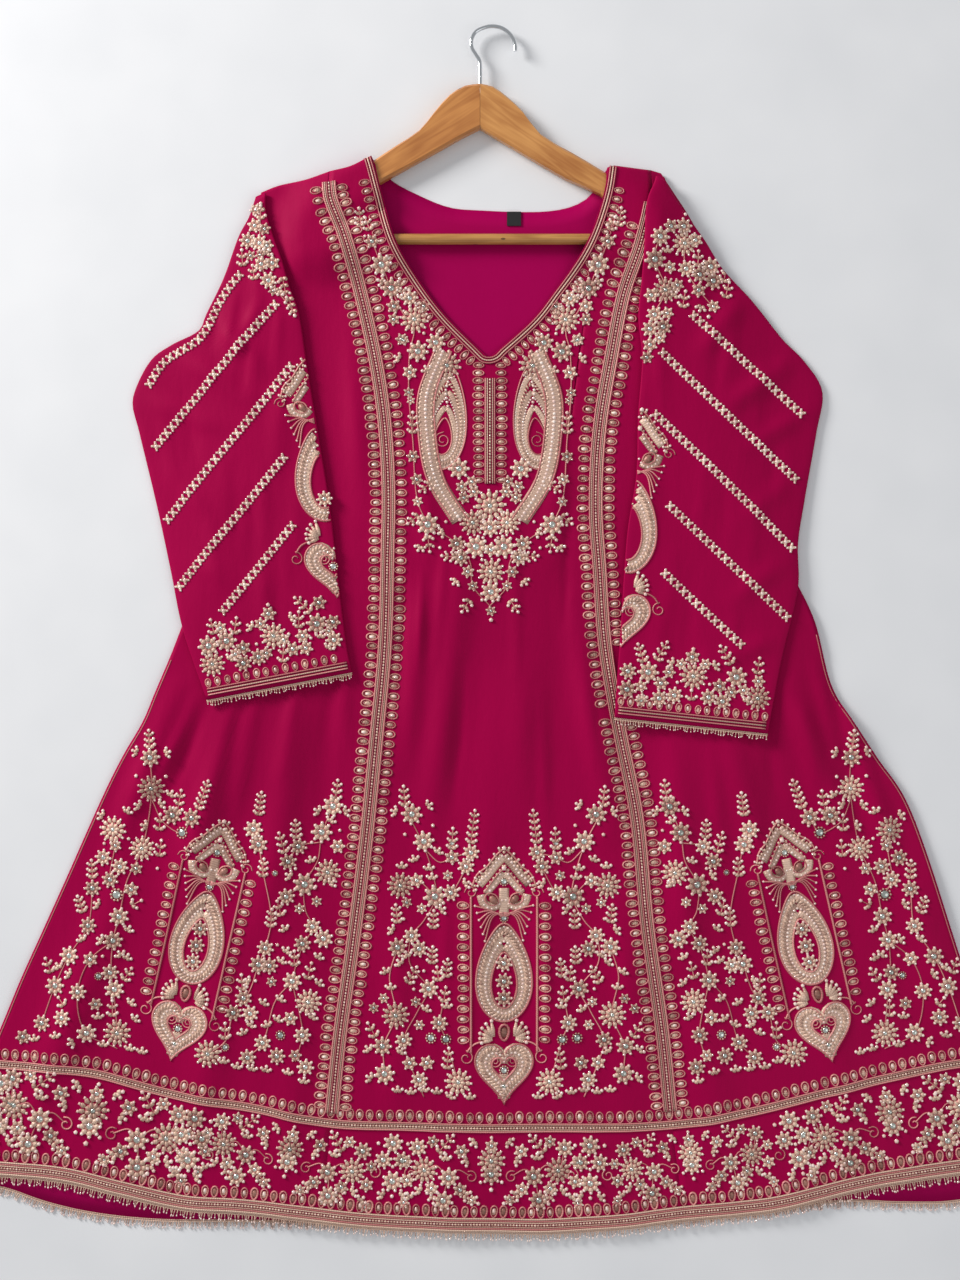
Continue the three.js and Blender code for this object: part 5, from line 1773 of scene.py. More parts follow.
# Motifs. Flowers, mirrors and beads: x, y, radius in plan units; triads: x, y, direction in degrees;
# sprigs: x, y of the root and of the tip
@dataclass(frozen=True)
class Spray:
    """The tables of one spray, all in the same units."""

    flowers: Rows = ()
    mirrors: Rows = ()
    triads: Rows = ()
    sprigs: Rows = ()
    stems: Sequence[Rows] = ()
    beads: Rows = ()
    leaves: Rows = ()

    def work(self, hand: Hand) -> None:
        """Works the spray.

        Args:
            hand: The hand, with its placement.
        """
        for stem in self.stems:
            hand.cord(stem, 0.6)
        for x, y, radius in self.flowers:
            hand.flower(x, y, radius)
        for x, y, radius in self.mirrors:
            hand.bead(x, y, radius, "mirror")
        for x, y, degrees in self.triads:
            hand.triad(x, y, degrees)
        for ax, ay, bx, by in self.sprigs:
            hand.sprig([[ax, ay], [bx, by]])
        for x, y, radius in self.beads:
            hand.bead(x, y, radius)
        for x, y, degrees, length, width in self.leaves:
            hand.leaf(x, y, degrees, length, width)


NECK_SPRAY = Spray(
    flowers=[
        [459, 469, 10], [462, 487, 6], [472, 482, 6], [464, 498, 6], [474, 492, 6], [473, 523, 12],
        [428, 525, 11],
        [457, 544, 8], [476, 547, 11], [461, 558, 8], [468, 572, 6], [473, 586, 5], [410, 373, 7],
        [409, 393, 5],
        [411, 401, 4], [413, 457, 6], [417, 480, 6], [418, 502, 5], [418, 352, 10], [402, 340, 6],
        [373, 245, 7],
        [382, 267, 10], [391.5, 289, 10], [394, 307, 7], [410, 299, 8], [424, 307, 6], [414.5, 320, 13],
        [394, 320, 6], [404, 341, 5], [436, 343, 9], [447, 366, 13],
    ],
    triads=[[457, 580, 230], [428, 372, 120], [400, 360, 150], [384, 283, 160], [444, 532, 200],
        [421, 546, 240]],
    sprigs=[
        [461, 558, 442, 556], [413, 434, 413, 413], [362, 230, 360, 212], [371, 234, 366, 221],
        [428, 536, 430, 552],
        [436, 480, 420, 492], [404, 300, 400, 280], [470, 600, 462, 612], [419, 516, 408, 524],
    ],
    stems=[
        [[373, 245], [382, 267], [391.5, 289], [402, 312], [414, 330], [410, 352], [409, 393],
            [413, 440], [418, 502], [428, 525]],
        [[428, 525], [446, 536], [457, 544], [470, 562], [473, 586], [490, 606]],
    ],
    beads=[[366, 240, 1.8], [378, 281, 2], [402, 296, 2], [424, 334, 2], [432, 330, 2], [446, 522, 2],
        [440, 548, 2], [482, 600, 2]],
)
NECK_MIDDLE = Spray(
    flowers=[[490, 506, 15], [490, 528, 9], [491, 550, 7], [491, 572, 12.5], [491, 592, 10], [491, 611, 5]],
    beads=[[491, 620, 2.6], [483, 538, 2], [498, 538, 2], [482, 560, 2], [499, 560, 2]],
)
CENTRE_SPRAY = Spray(
    flowers=[
        [412, 814, 10], [424, 841, 10], [417, 880, 7], [435, 896, 11], [400.5, 885, 12], [451, 892, 8],
        [448, 875, 5],
        [452, 857, 7], [466, 866, 8], [471, 852, 8], [407, 902, 5], [422, 908, 5], [412, 935, 8],
        [398, 946, 9],
        [419.5, 948, 8], [429, 988, 9], [396, 1014, 12.5], [416, 1001, 5], [374, 1007, 5], [384, 997, 5],
        [439.5, 1022, 8], [419.5, 1024, 5], [404, 1039, 8], [382.6, 1045, 9], [410, 1062, 7], [427, 1062, 7],
        [458.4, 1081, 12.5], [384.7, 1072.6, 10], [419.5, 1079, 8],
    ],
    mirrors=[[431, 1037, 5.5], [446, 1038, 5.5], [452, 843, 3]],
    triads=[
        [415, 861, 110], [437, 853, 60], [429, 870, 90], [432, 879, 90], [447, 1007, 90], [408, 956, 110],
        [401.6, 963, 130], [397, 812, 160], [427, 806, 30], [394, 930, 150], [387, 972, 120], [402, 868, 90],
        [398, 1091, 90], [411, 1093, 90], [424, 1091, 90], [437, 1093, 90], [449, 1097, 60],
        [470, 1098, 90], [370, 1050, 130],
        [372, 1078, 150], [400, 1052, 60], [391, 988, 90], [440, 910, 30], [464, 884, 30], [425, 1010, 60],
    ],
    sprigs=[
        [405, 806, 403.7, 786], [452, 849, 453, 828], [471, 843, 475, 810], [398, 922, 396, 904],
        [433, 928, 434, 910],
        [432, 963, 433, 946], [446, 976, 448, 958], [439, 980, 437, 966], [408, 982, 417, 966],
        [447, 1068, 449, 1047],
        [376, 1036, 368, 1022], [444, 1001, 446, 986],
    ],
    stems=[
        [[404, 790], [408, 812], [422, 841], [432, 870], [436, 896], [424, 920], [412, 935], [410, 962],
            [428, 988],
         [418, 1010], [404, 1039], [410, 1062], [424, 1096]],
        [[426, 850], [440, 862], [452, 857], [471, 852]], [[436, 896], [451, 892], [466, 868]],
        [[401, 885], [417, 880], [434, 894]], [[398, 946], [390, 975], [396, 1014], [384, 1045], [385, 1072]],
        [[429, 988], [442, 1000], [440, 1022], [446, 1038], [458, 1081]],
    ],
    beads=[[405, 834, 2.2], [433, 825, 2.2], [459.5, 888, 2], [428, 914, 2], [404, 918, 2],
        [424, 970, 2], [414, 988, 2]],
)
OUTER_SPRAY = Spray(
    flowers=[
        [152, 757, 9], [152.7, 788, 12], [114, 829, 12.5], [143, 848, 11.5], [173, 815, 9],
        [193, 817, 9], [116.6, 845, 6],
        [104, 857, 8], [121, 866, 8], [137, 868, 6], [111, 879, 8], [93, 888, 8], [132, 889, 7],
        [120, 916, 9],
        [114, 940, 9], [111, 972, 8], [115, 989, 9], [117.6, 1032.6, 12.5], [89, 925, 8], [70, 955, 9],
        [92, 958, 7],
        [56, 985, 9], [80, 990, 8], [97, 1003, 6], [64, 1016, 8], [88, 1032, 9], [43, 1022, 8], [24, 1036, 7],
    ],
    mirrors=[[183, 832, 6], [117.6, 894, 6.5], [100, 975, 4]],
    triads=[
        [142, 806, 150], [160, 805, 30], [139, 752, 160], [166, 753, 20], [126, 959, 60],
        [127.7, 931, 60], [104, 940, 150],
        [72, 974, 150], [60, 968, 120], [99, 1018, 90], [76, 1040, 200], [100, 905, 150], [84, 940, 120],
        [130, 1050, 80], [142, 1053, 80], [104, 1046, 90], [58, 1036, 100], [36, 1040, 100],
        [130, 1004, 50], [134, 1020, 50],
        [148, 826, 160], [104, 816, 150], [128, 812, 60], [170, 796, 60], [122, 956, 120],
    ],
    sprigs=[
        [152, 748, 150, 730], [178, 812, 182, 790], [200, 808, 210, 780], [160, 830, 161, 814],
        [160, 856, 162, 840],
        [93, 878, 92, 860], [113, 1016, 113, 1000], [124, 980, 132, 968], [84, 912, 78, 896],
        [52, 972, 46, 958],
        [66, 1004, 60, 996], [132, 905, 142, 900],
    ],
    stems=[
        [[150, 737], [152, 757], [153, 788], [143, 848], [128, 880], [120, 916], [114, 940], [112, 972],
            [115, 1000], [118, 1032]],
        [[153, 800], [164, 822], [183, 832], [193, 817]], [[114, 829], [116, 845], [111, 879], [118, 894]],
        [[93, 888], [89, 925], [70, 955], [56, 985], [43, 1022]], [[114, 940], [92, 958], [80, 990],
            [88, 1032], [118, 1048]],
    ],
    beads=[[138, 775, 2.2], [167, 776, 2.2], [130, 838, 2], [158, 868, 2], [105, 843, 2], [104, 955, 2]],
)
INNER_SPRAY = Spray(
    flowers=[
        [254, 829, 9], [259, 844, 9], [266, 947.5, 8], [259, 964, 9], [270, 965, 8], [272, 981, 5],
        [244, 997.5, 8],
        [234, 1012, 8], [250.6, 1013, 8], [209, 1052, 12.5], [263, 1042, 8], [248, 1057, 8], [277.5, 1055, 8],
        [333, 806, 10], [322, 832, 10], [338, 846, 7], [299, 846, 8], [289, 861, 8], [328, 872, 12],
        [305, 884, 11],
        [287, 896, 8], [317, 901, 5], [300, 908, 5], [313, 926, 8], [324, 938, 9], [303, 943, 8],
        [293, 980, 9],
        [309, 1001, 12], [291, 1017, 7], [303, 1034, 8], [296, 1054, 6], [306, 1066, 8],
    ],
    mirrors=[[281, 1034, 5], [226, 1046, 4], [276, 872, 3]],
    triads=[
        [263, 1004, 60], [244, 1034, 110], [312, 862, 110], [330, 822, 60], [318, 958, 60],
        [286, 930, 120], [281, 962, 60],
        [280, 1000, 60], [344, 812, 20], [320, 812, 150], [268, 1026, 110],
        [224, 1062, 80], [237, 1068, 80], [252, 1070, 80], [266, 1071, 80], [288, 1073, 80],
        [304, 1082, 80], [277, 1020, 60],
        [250, 982, 150], [286, 952, 60], [250, 1026, 60], [312, 1018, 60], [318, 984, 50],
        [330, 884, 40], [292, 876, 150],
    ],
    sprigs=[
        [336, 800, 338, 780], [259, 815, 262, 792], [263, 876, 265, 858], [271, 926, 273, 908],
        [243, 990, 242, 974],
        [226, 1038, 226, 1022], [297, 838, 296, 820], [286, 852, 280, 832], [295, 965, 295, 950],
        [308, 978, 312, 962],
        [282, 915, 278, 900],
    ],
    stems=[
        [[338, 786], [332, 808], [322, 834], [318, 860], [305, 884], [306, 910], [313, 926], [302, 948],
            [294, 980],
         [300, 1010], [303, 1034], [296, 1060]],
        [[320, 842], [299, 846], [289, 861]], [[305, 884], [287, 896], [272, 918]], [[254, 829],
            [259, 844], [264, 870], [272, 918], [266, 948]],
        [[266, 948], [259, 964], [250, 990], [234, 1012], [226, 1040], [209, 1052]], [[293, 980],
            [276, 1000], [263, 1042], [248, 1057]],
    ],
    beads=[[340, 830, 2], [312, 842, 2], [296, 868, 2], [316, 886, 2], [278, 944, 2], [256, 980, 2]],
)
LEFT_SHOULDER = Spray(
    flowers=[[249, 243, 8], [261, 246, 8], [269, 249, 6], [263, 267, 7], [274, 266, 7], [270, 283, 8],
        [275, 293, 5],
             [256, 228, 7], [266, 232, 6], [252, 258, 5], [257, 212, 6], [262, 258, 5]],
    sprigs=[[244, 268, 243, 252], [256, 282, 254, 268], [262, 222, 262, 206], [284, 280, 288, 300],
        [290, 300, 296, 318]],
    triads=[[262, 214, 90], [268, 258, 60], [282, 292, 240]],
    stems=[[[262, 206], [262, 246], [268, 283], [284, 300], [298, 318]]],
)
RIGHT_SHOULDER = Spray(
    flowers=[
        [658, 242, 9], [669, 231, 7], [682, 230, 8], [683, 247, 11.5], [694, 243, 7], [708.6, 253, 8],
        [653, 264, 10],
        [668, 271, 6], [684.5, 272, 8], [709.5, 269, 9], [698, 277.6, 8], [712, 283, 9], [697, 293, 7],
        [712, 308.6, 6],
        [650, 298, 7], [664, 293, 11.5], [676, 288, 6], [653.5, 317, 8], [666, 315.5, 6], [649, 331, 8],
        [662, 329, 8],
        [658.6, 340, 6], [649, 346.6, 7], [646, 359, 6],
    ],
    triads=[[665.5, 257, 90], [672, 300, 60], [700, 308, 250]],
    sprigs=[[696, 270, 697, 254], [724, 300, 728, 284], [722, 284, 726, 270], [681, 310, 684, 294],
        [688, 222, 690, 206]],
    stems=[[[690, 208], [683, 247], [684, 272], [697, 293], [712, 309]], [[669, 231], [658, 242],
        [653, 264], [664, 293], [653, 317], [646, 359]]],
    beads=[[707, 319, 2.4], [675, 258, 2], [692, 260, 2], [656, 280, 2], [688, 284, 2]],
)
LEFT_CUFF = Spray(
    flowers=[
        [275, 636, 12], [270, 614, 7], [228, 641, 10], [210, 646, 10], [214, 664, 11.5], [245, 648, 7],
        [260, 657, 8],
        [245, 663, 8], [294, 649, 7], [307, 648, 7], [304, 636, 7], [318, 624, 10], [320, 603, 7],
        [334, 622, 7],
        [335, 640, 8], [268, 653, 6], [285, 640, 6], [237, 654, 6], [222, 628, 6], [262, 624, 6],
        [330, 631, 5],
    ],
    triads=[[329, 649, 60], [254, 628, 150], [291, 619, 30], [231, 660, 60], [322, 638, 90]],
    sprigs=[[312, 612, 296, 598], [284, 662, 285, 646], [236, 634, 238, 618], [216, 634, 212, 620],
        [300, 628, 300, 612]],
    beads=[[269.6, 605, 2.4], [258, 644, 2], [290, 634, 2], [312, 638, 2]],
)
RIGHT_CUFF = Spray(
    flowers=[
        [692, 676, 12.5], [691, 657, 7], [647, 672, 10], [627, 671, 8], [626, 689, 9], [660, 683, 7],
        [658, 698, 8],
        [673, 695, 8], [707, 697, 8], [718, 686, 7], [721, 701, 8], [735, 677, 10], [757, 681, 6],
        [756, 698, 11.5],
        [680, 664, 5.5], [704, 664, 5.5], [640, 686, 6], [668, 672, 6], [730, 692, 6], [742, 690, 6],
        [640, 700, 6],
    ],
    triads=[[744, 702, 60], [672, 664, 150], [712, 667, 30], [641, 700, 90]],
    sprigs=[[643, 662, 637, 644], [655, 660, 666, 642], [730, 664, 719, 646], [756, 674, 758, 658],
        [690, 700, 690, 690]],
    beads=[[692, 649, 2.4], [676, 682, 2], [708, 684, 2], [640, 686, 2]],
)
HEM_INVERTED = Spray(
    flowers=[[0, 11, 6], [0, 25, 12], [0, 38, 9]],
    triads=[[-15, 6, 220], [15, 6, 320], [-22, 24, 200], [22, 24, 340]],
    beads=[[0, 52, 2.4], [-10, 45, 2], [10, 45, 2], [0, 3, 2]],
)
HEM_BETWEEN = Spray(
    flowers=[[40, 41, 9], [45, 63, 9], [63, 35, 11.6], [69, 14, 8], [28, 17, 6.5], [29, 53, 6.5],
        [56, 52, 6.5],
             [79, 45, 6.5], [55, 8, 5.5], [80, 27, 5.5], [18, 63, 5], [82, 66, 5]],
    triads=[[43, 25, 90], [66, 55, 30], [76, 62, 60]],
    sprigs=[[25, 57, 12, 66], [50, 18, 36, 2], [56, 52, 54, 66]],
    stems=[[[20, 40], [32, 34], [40, 41], [45, 63]], [[40, 41], [52, 30], [63, 35], [69, 14]]],
)
HEM_UPRIGHT = Spray(
    flowers=[[0, 12, 9], [-9, 28, 8], [9, 28, 8], [0, 48, 9.5]],
    triads=[[-8, 62, 150], [8, 62, 30]],
    beads=[[-14, 12, 2.2], [14, 12, 2.2], [0, 62, 2.2], [0, 34, 2]],
)
SLEEVE_LEFT_VINES = [
    [[243, 274], [232, 287], [220, 305], [210, 326], [199, 341], [182, 352], [165, 363], [148, 388]],
    [[279, 304], [236, 352], [192, 405], [154, 450]], [[294, 365], [252, 418], [206, 473], [166, 523]],
    [[287, 456], [250, 502], [210, 550], [178, 590]], [[295.6, 523.5], [258, 570], [222, 614]],
]
SLEEVE_RIGHT_VINES = [
    [[689, 315], [744, 364], [803, 417]], [[658.6, 352], [728, 418], [797, 482]], [[652, 413],
        [722, 480], [793, 551]],
    [[666, 504], [728, 563], [788, 620]], [[661, 571], [702, 610], [742, 647]],
]


def cuff_line(side: str) -> Path:
    """Draws the lower end of a sleeve from left to right."""
    ends = {"left": (SLEEVE_LEFT_OUTER, SLEEVE_LEFT_INNER), "right": (SLEEVE_RIGHT_INNER, SLEEVE_RIGHT_OUTER)}
    return Path(from_cut([rows[-1] for rows in ends[side]]))


def to_plan_units(points: np.ndarray) -> np.ndarray:
    """Turns plan points in metres back into plan units."""
    return (points - CUT_SHIFT) / (UNIT, -UNIT) + PLAN_CORNER


def drop_outline(top: float, wide_at: float, half: float, bottom: float, count: int = 32) -> np.ndarray:
    """Draws a drop: a point at its top and a round foot.

    Args:
        top: w of its point.
        wide_at: w of its widest place.
        half: Half its width.
        bottom: w of its foot.
        count: Number of points round it.

    Returns:
        u and w of each point.
    """
    rows = []
    for k in range(count):
        angle = 2 * math.pi * k / count
        up = math.cos(angle)
        w = wide_at - (wide_at - top) * up if up > 0 else wide_at - (bottom - wide_at) * up
        u = half * math.sin(angle) * (1 - 0.35 * max(up, 0.0) ** 2)
        rows.append([u, w])
    return np.array(rows)


def heart_outline(top: float, half: float, tip: float, count: int = 32) -> np.ndarray:
    """Draws a heart with two lobes above and a point below.

    Args:
        top: w of the lobes.
        half: Half its width.
        tip: w of its point.
        count: Number of points round it.

    Returns:
        u and w of each point.
    """
    rows = []
    tall = tip - top
    for step in range(count):
        angle = 2 * math.pi * step / count
        u = half * math.sin(angle) ** 3
        rise = sum(part * math.cos(k * angle) for k, part in ((1, 13), (2, -5), (3, -2), (4, -1))) / 29
        rows.append([u, top + tall * (0.41 - rise)])
    return np.array(rows)


@dataclass(frozen=True)
class Arch:
    """A pointed medallion: crown, drop with three flowers, and heart, between two leaf rows."""

    hand: Hand
    framed: bool = True

    def banded(self, outer: np.ndarray, inner: np.ndarray) -> None:
        """Fills the band between two outlines with cords, petals and beads."""
        def between(share: float) -> list:
            return (outer * (1 - share) + inner * share).tolist()

        for share in (0.2, 0.5, 0.8):
            rows = between(share)
            self.hand.tape(rows + rows[:1], 3.9)
        for share in (0.0, 1.0):
            rows = between(share)
            self.hand.cord(rows + rows[:1], 0.95)
        rows = between(0.34)
        path = Path(self.hand.place.points(rows + rows[:1]))
        at, _, angle = path.stations(max(8, int(path.length / (3.6 * UNIT))))
        size = self.hand.place.scale * UNIT
        self.hand.work.lay_down("petal", at, angle + 0.9, 3.6 * size, 1.6 * size, 2.0 * size)
        self.hand.beads(between(0.12), 4.2, 1.3, "bead", closed=True)
        self.hand.beads(between(0.62), 4.0, 1.7, "bead", closed=True)
        self.hand.beads(between(0.86), 4.4, 1.4, "zari_bead", closed=True)

    def crown(self) -> None:
        """Works the crown over the drop."""
        hand = self.hand
        hand.tape([[0, 40], [0, 55], [0, 68]], 5)
        for side in (-1, 1):
            hand.tape([[0, 8], [side * 8, 16], [side * 16, 26], [side * 25, 36]], 4.6)
            hand.tape([[0, 25], [side * 9, 35], [side * 18, 45]], 3.6)
            hand.cord([[0, 20], [side * 8, 28], [side * 15, 37], [side * 20, 44]], 0.8)
            for k in range(7):
                hand.tipped(side * (3 + 4.4 * k), 4 + 5.6 * k, 90 - side * (28 + 5 * k), 4.6, 3.6)
            hand.tape([[0, 50], [side * 9, 58], [side * 20, 55], [side * 23, 46]], 4.5)
            hand.cord([[0, 0], [side * 9, 8], [side * 17, 18], [side * 27, 26], [side * 32, 38]], 0.9)
            hand.beads([[0, 4], [side * 9, 12], [side * 17, 22], [side * 27, 31],
                [side * 30, 42]], 4.4, 1.8, "zari_bead")
            hand.beads([[side * 2, 52], [side * 9, 60], [side * 19, 57], [side * 22, 47]], 3.8, 1.4)
            hand.beads([[side * 2, 8], [side * 9, 16], [side * 15, 25], [side * 24, 33],
                [side * 28, 41]], 3.6, 1.7)
            hand.beads([[side * 1, 18], [side * 7, 26], [side * 14, 34],
                [side * 19, 42]], 3.8, 1.7, "zari_bead")
            hand.beads([[side * 4, 26], [side * 8, 36], [side * 14, 42]], 3.8, 1.6)
            hand.petal(side * 7, 56, 52 if side > 0 else 128, 12, 8, "satin_petal")
            hand.cord([[side * 5, 55], [side * 8, 47], [side * 17, 45], [side * 19, 52],
                [side * 12, 57], [side * 5, 55]], 0.8)
            hand.curl(side * 33, 44, 6.5, 0 if side > 0 else 180, side * 1.2)
            for k in range(6):
                hand.cord([[0, 64 + k], [side * (11 + k), 68 - k * 1.5],
                    [side * (19 + 2 * k), 92 - 7 * k]], 0.75)
                hand.bead(side * (19 + 2 * k), 92 - 7 * k, 1.5)
        hand.bead(0, 0, 2.8)
        hand.bead(0, 33.4, 4.6, "mirror")
        hand.bead(0, 20, 3)
        hand.bead(0, 70, 4.4, "mirror")

    def drop(self) -> None:
        """Works the drop and what fills it."""
        hand = self.hand
        self.banded(drop_outline(75, 134, 28, 173), drop_outline(104, 136, 13, 160))
        for w in (115, 133, 150):
            hand.flower(0, w, 8)
        for side in (-1, 1):
            for k in range(6):
                hand.tipped(side * 10, 190, 90 - side * (8 + 20 * k), 18 - k, 5)
            if self.framed:
                hand.cord([[side * 33, 48], [side * 33, 90], [side * 33, 150], [side * 33, 204]], 1.1)
        hand.leaf(0, 192, 90, 16, 11)

    def heart(self) -> None:
        """Works the heart under the drop."""
        hand = self.hand
        outer = heart_outline(196, 29, 256)
        inner = np.array([0, 219.0]) + (outer - np.array([0, 219.0])) * 0.42
        self.banded(outer, inner)
        for side in (-1, 1):
            hand.curl(side * 9, 213, 7, 90, side * 1.6)
            hand.curl(side * 38, 209, 7.5, 90, side * 1.2)
            hand.cord([[side * 20, 192], [side * 31, 196], [side * 37, 203]], 0.9)
        hand.tape([[0, 226], [0, 240], [0, 250]], 6)
        hand.bead(0, 222, 5, "mirror")
        hand.flower(0, 238, 7)

    def leaves(self) -> None:
        """Works the leaf rows on both sides."""
        for side in (-1, 1):
            rows = [[side * 35, 52], [side * 35, 120], [side * 35, 196]]
            facing = side if not self.hand.place.flipped else -side
            self.hand.leaves(rows, 10.0, facing, 11, 7.6)

    def work(self) -> None:
        """Works the whole medallion."""
        if self.framed:
            self.leaves()
        self.crown()
        self.drop()
        self.heart()


class Embroidery:
    """The worked ornament of the front and the sleeves, region by region."""

    HEM_FIRST = 2.6  # plan units
    HEM_REPEAT = 97.8

    def __init__(self, garment: "Garment") -> None:
        """Notes the garment and how much room each region leaves.

        Args:
            garment: The kurta that it is worked on.
        """
        self.garment = garment
        top = garment.front_top
        left = Sleeve("", SLEEVE_LEFT_OUTER, SLEEVE_LEFT_INNER, top, top).outline()
        right = Sleeve("", SLEEVE_RIGHT_OUTER, SLEEVE_RIGHT_INNER, top, top).outline()
        front = np.vstack([cut_path(rows).points[::2] for rows in (
            SIDE_LEFT[::-1], SHOULDER_LEFT_SIDE, SHOULDER_LEFT_CENTRE, NECK_LEFT, NECK_RIGHT,
            SHOULDER_RIGHT_CENTRE, SHOULDER_RIGHT_SIDE, SIDE_RIGHT, HEM_LINE[::-1],
        )])
        self.left_room, self.right_room, inner = self._room(left), self._room(right), self._room(front)
        beyond = np.minimum(-self.left_room.heights, -self.right_room.heights)
        self.front_room = HeightField(np.minimum(inner.heights, beyond))

    @staticmethod
    def _room(outline: np.ndarray) -> HeightField:
        """Measures how far each place lies inside an outline."""
        plan = HeightField.plan()
        away = distance_to(plan, np.vstack((outline, outline[:1]))[::2])
        return HeightField(np.where(inside(plan, outline), away, -away))

    def _finish(self, work: Needlework, name: str, cloth: HeightField, node: str) -> None:
        """Lays a region's work on its cloth."""
        self.garment.on[node].append(work.build(name, cloth))

    def neck(self) -> None:
        """Works the neck and what hangs below it."""
        work = Needlework(self.garment.kit, 21, self.front_room.at)
        NECK_MIDDLE.work(Hand(work))
        for k, place in enumerate((Placement(), Placement(x=980, flipped=True))):
            hand = Hand(work, place)
            NECK_SPRAY.work(hand)
            facing = -1 if k else 1
            hand.leaves([[484, 362], [484, 420], [484, 484]], 7.3, -facing, 10.5, 6.4)
            band = [[443, 352], [427, 395], [427, 433], [436, 480], [460, 520]]
            for offset, radius in ((-8.5, 0.95), (-3, 0.6), (3, 0.6), (8.5, 0.95)):
                hand.cord([[x + offset, y] for x, y in band], radius)
            hand.tape(band, 9)
            hand.beads(band, 3.9, 2.1)
            for offset in (-6, 6):
                hand.beads([[x + offset, y] for x, y in band], 4.4, 2.1, "zari_bead")
            x, turn = (980 - 458, 6) if k else (458, -6)
            arch = Arch(Hand(work, Placement(x=x, y=296, turn=turn, scale=0.74, flipped=bool(k))))
            arch.banded(drop_outline(96, 184, 30, 236), drop_outline(166, 196, 12, 216))
            arch.hand.curl(0, 196, 11, 90, 1.6)
            arch.hand.beads([[0, 112], [-3, 130], [2, 150]], 4.5, 2.4)
        for path in (self.garment.neck_left, self.garment.neck_right):
            leaf_row(work, path, 8.2 * UNIT, -1, 10 * UNIT, 6.4 * UNIT, offset=4.2 * MM)
        self._finish(work, "needlework_neck", self.garment.front_top, "front_centre")

    def band_rows(self) -> None:
        """Works the leaf rows along the princess braids and the side edges."""
        for name, rows, start, seed in (("left", BAND_LEFT, 0.014, 31), ("right", BAND_RIGHT, 0.036, 32)):
            work = Needlework(self.garment.kit, seed, self.front_room.at)
            path = cut_path(rows).part(start, 0.895)
            for side in (-1, 1):
                leaf_row(work, path, 9.6 * UNIT, side, 11.4 * UNIT, 7.6 * UNIT, offset=7.3 * MM)
            facing = 1 if name == "left" else -1
            side_edge = Path(from_cut(SIDE_LEFT if name == "left" else SIDE_RIGHT)).part(0.46, 0.985)
            leaf_row(work, side_edge, 9.4 * UNIT, facing, 8.2 * UNIT, 7 * UNIT, offset=2.2 * MM)
            work.cord(side_edge.beside(facing * 2.4 * MM).points, 0.6 * MM)
            self._finish(work, f"needlework_band_{name}", self.garment.front_top, f"front_{name}")

    def skirt(self) -> None:
        """Works the medallions and sprays of the skirt."""
        centre = Needlework(self.garment.kit, 41, self.front_room.at)
        Arch(Hand(centre, Placement(x=504, y=847.6))).work()
        for place in (Placement(), Placement(x=1008, flipped=True)):
            CENTRE_SPRAY.work(Hand(centre, place))
        self._finish(centre, "needlework_skirt_centre", self.garment.front_top, "front_centre")
        for name, at, spray, seed in (
            ("left", Placement(x=225, y=821, turn=-12.7, scale=0.957), Placement(), 42),
            ("right", Placement(777, 821, 12.7, 0.957, True), Placement(x=1002, flipped=True), 43),
        ):
            work = Needlework(self.garment.kit, seed, self.front_room.at)
            Arch(Hand(work, at)).work()
            OUTER_SPRAY.work(Hand(work, spray))
            INNER_SPRAY.work(Hand(work, spray))
            self._finish(work, f"needlework_skirt_{name}", self.garment.front_top, f"front_{name}")

    def hem(self) -> None:
        """Works the border between the two hem braids and their leaf rows."""
        work = Needlework(self.garment.kit, 51, self.front_room.at)
        upper, lower = cut_path(HEM_UPPER), cut_path(HEM_LINE)
        leaf_row(work, upper, 10 * UNIT, 1, 11 * UNIT, 8 * UNIT, offset=5 * MM)
        shapes = ("leaf_satin", "leaf_glint")
        leaf_row(work, lower, 9.6 * UNIT, 1, 11.5 * UNIT, 7.6 * UNIT, shapes, offset=14.8 * MM)
        line, foot = (to_plan_units(path.points).T for path in (upper, lower))
        for k in range(-1, 11):
            x = self.HEM_FIRST + self.HEM_REPEAT * k
            if not line[0, 0] < x < line[0, -1]:
                continue
            before, y, after = (float(np.interp(at, *line)) for at in (x - 20, x, x + 20))
            turn = -math.degrees(math.atan2(after - before, 40))
            scale = float(np.clip((np.interp(x, *foot) - y - 31) / 68, 0.95, 1.3))
            middle, below = (HEM_INVERTED, 6) if k % 2 else (HEM_UPRIGHT, 5)
            middle.work(Hand(work, Placement(x=x, y=y + below, turn=turn, scale=scale)))
            for flipped in (False, True):
                hand = Hand(work, Placement(x=x, y=y + 5, turn=turn, scale=scale, flipped=flipped))
                if k % 2:
                    HEM_BETWEEN.work(hand)
                hand.curl(*((19, 41, 6, 60, 1.2) if k % 2 else (17, 40, 6, 120, 1.2)))
        self._finish(work, "needlework_hem", self.garment.front_top, "front_centre")

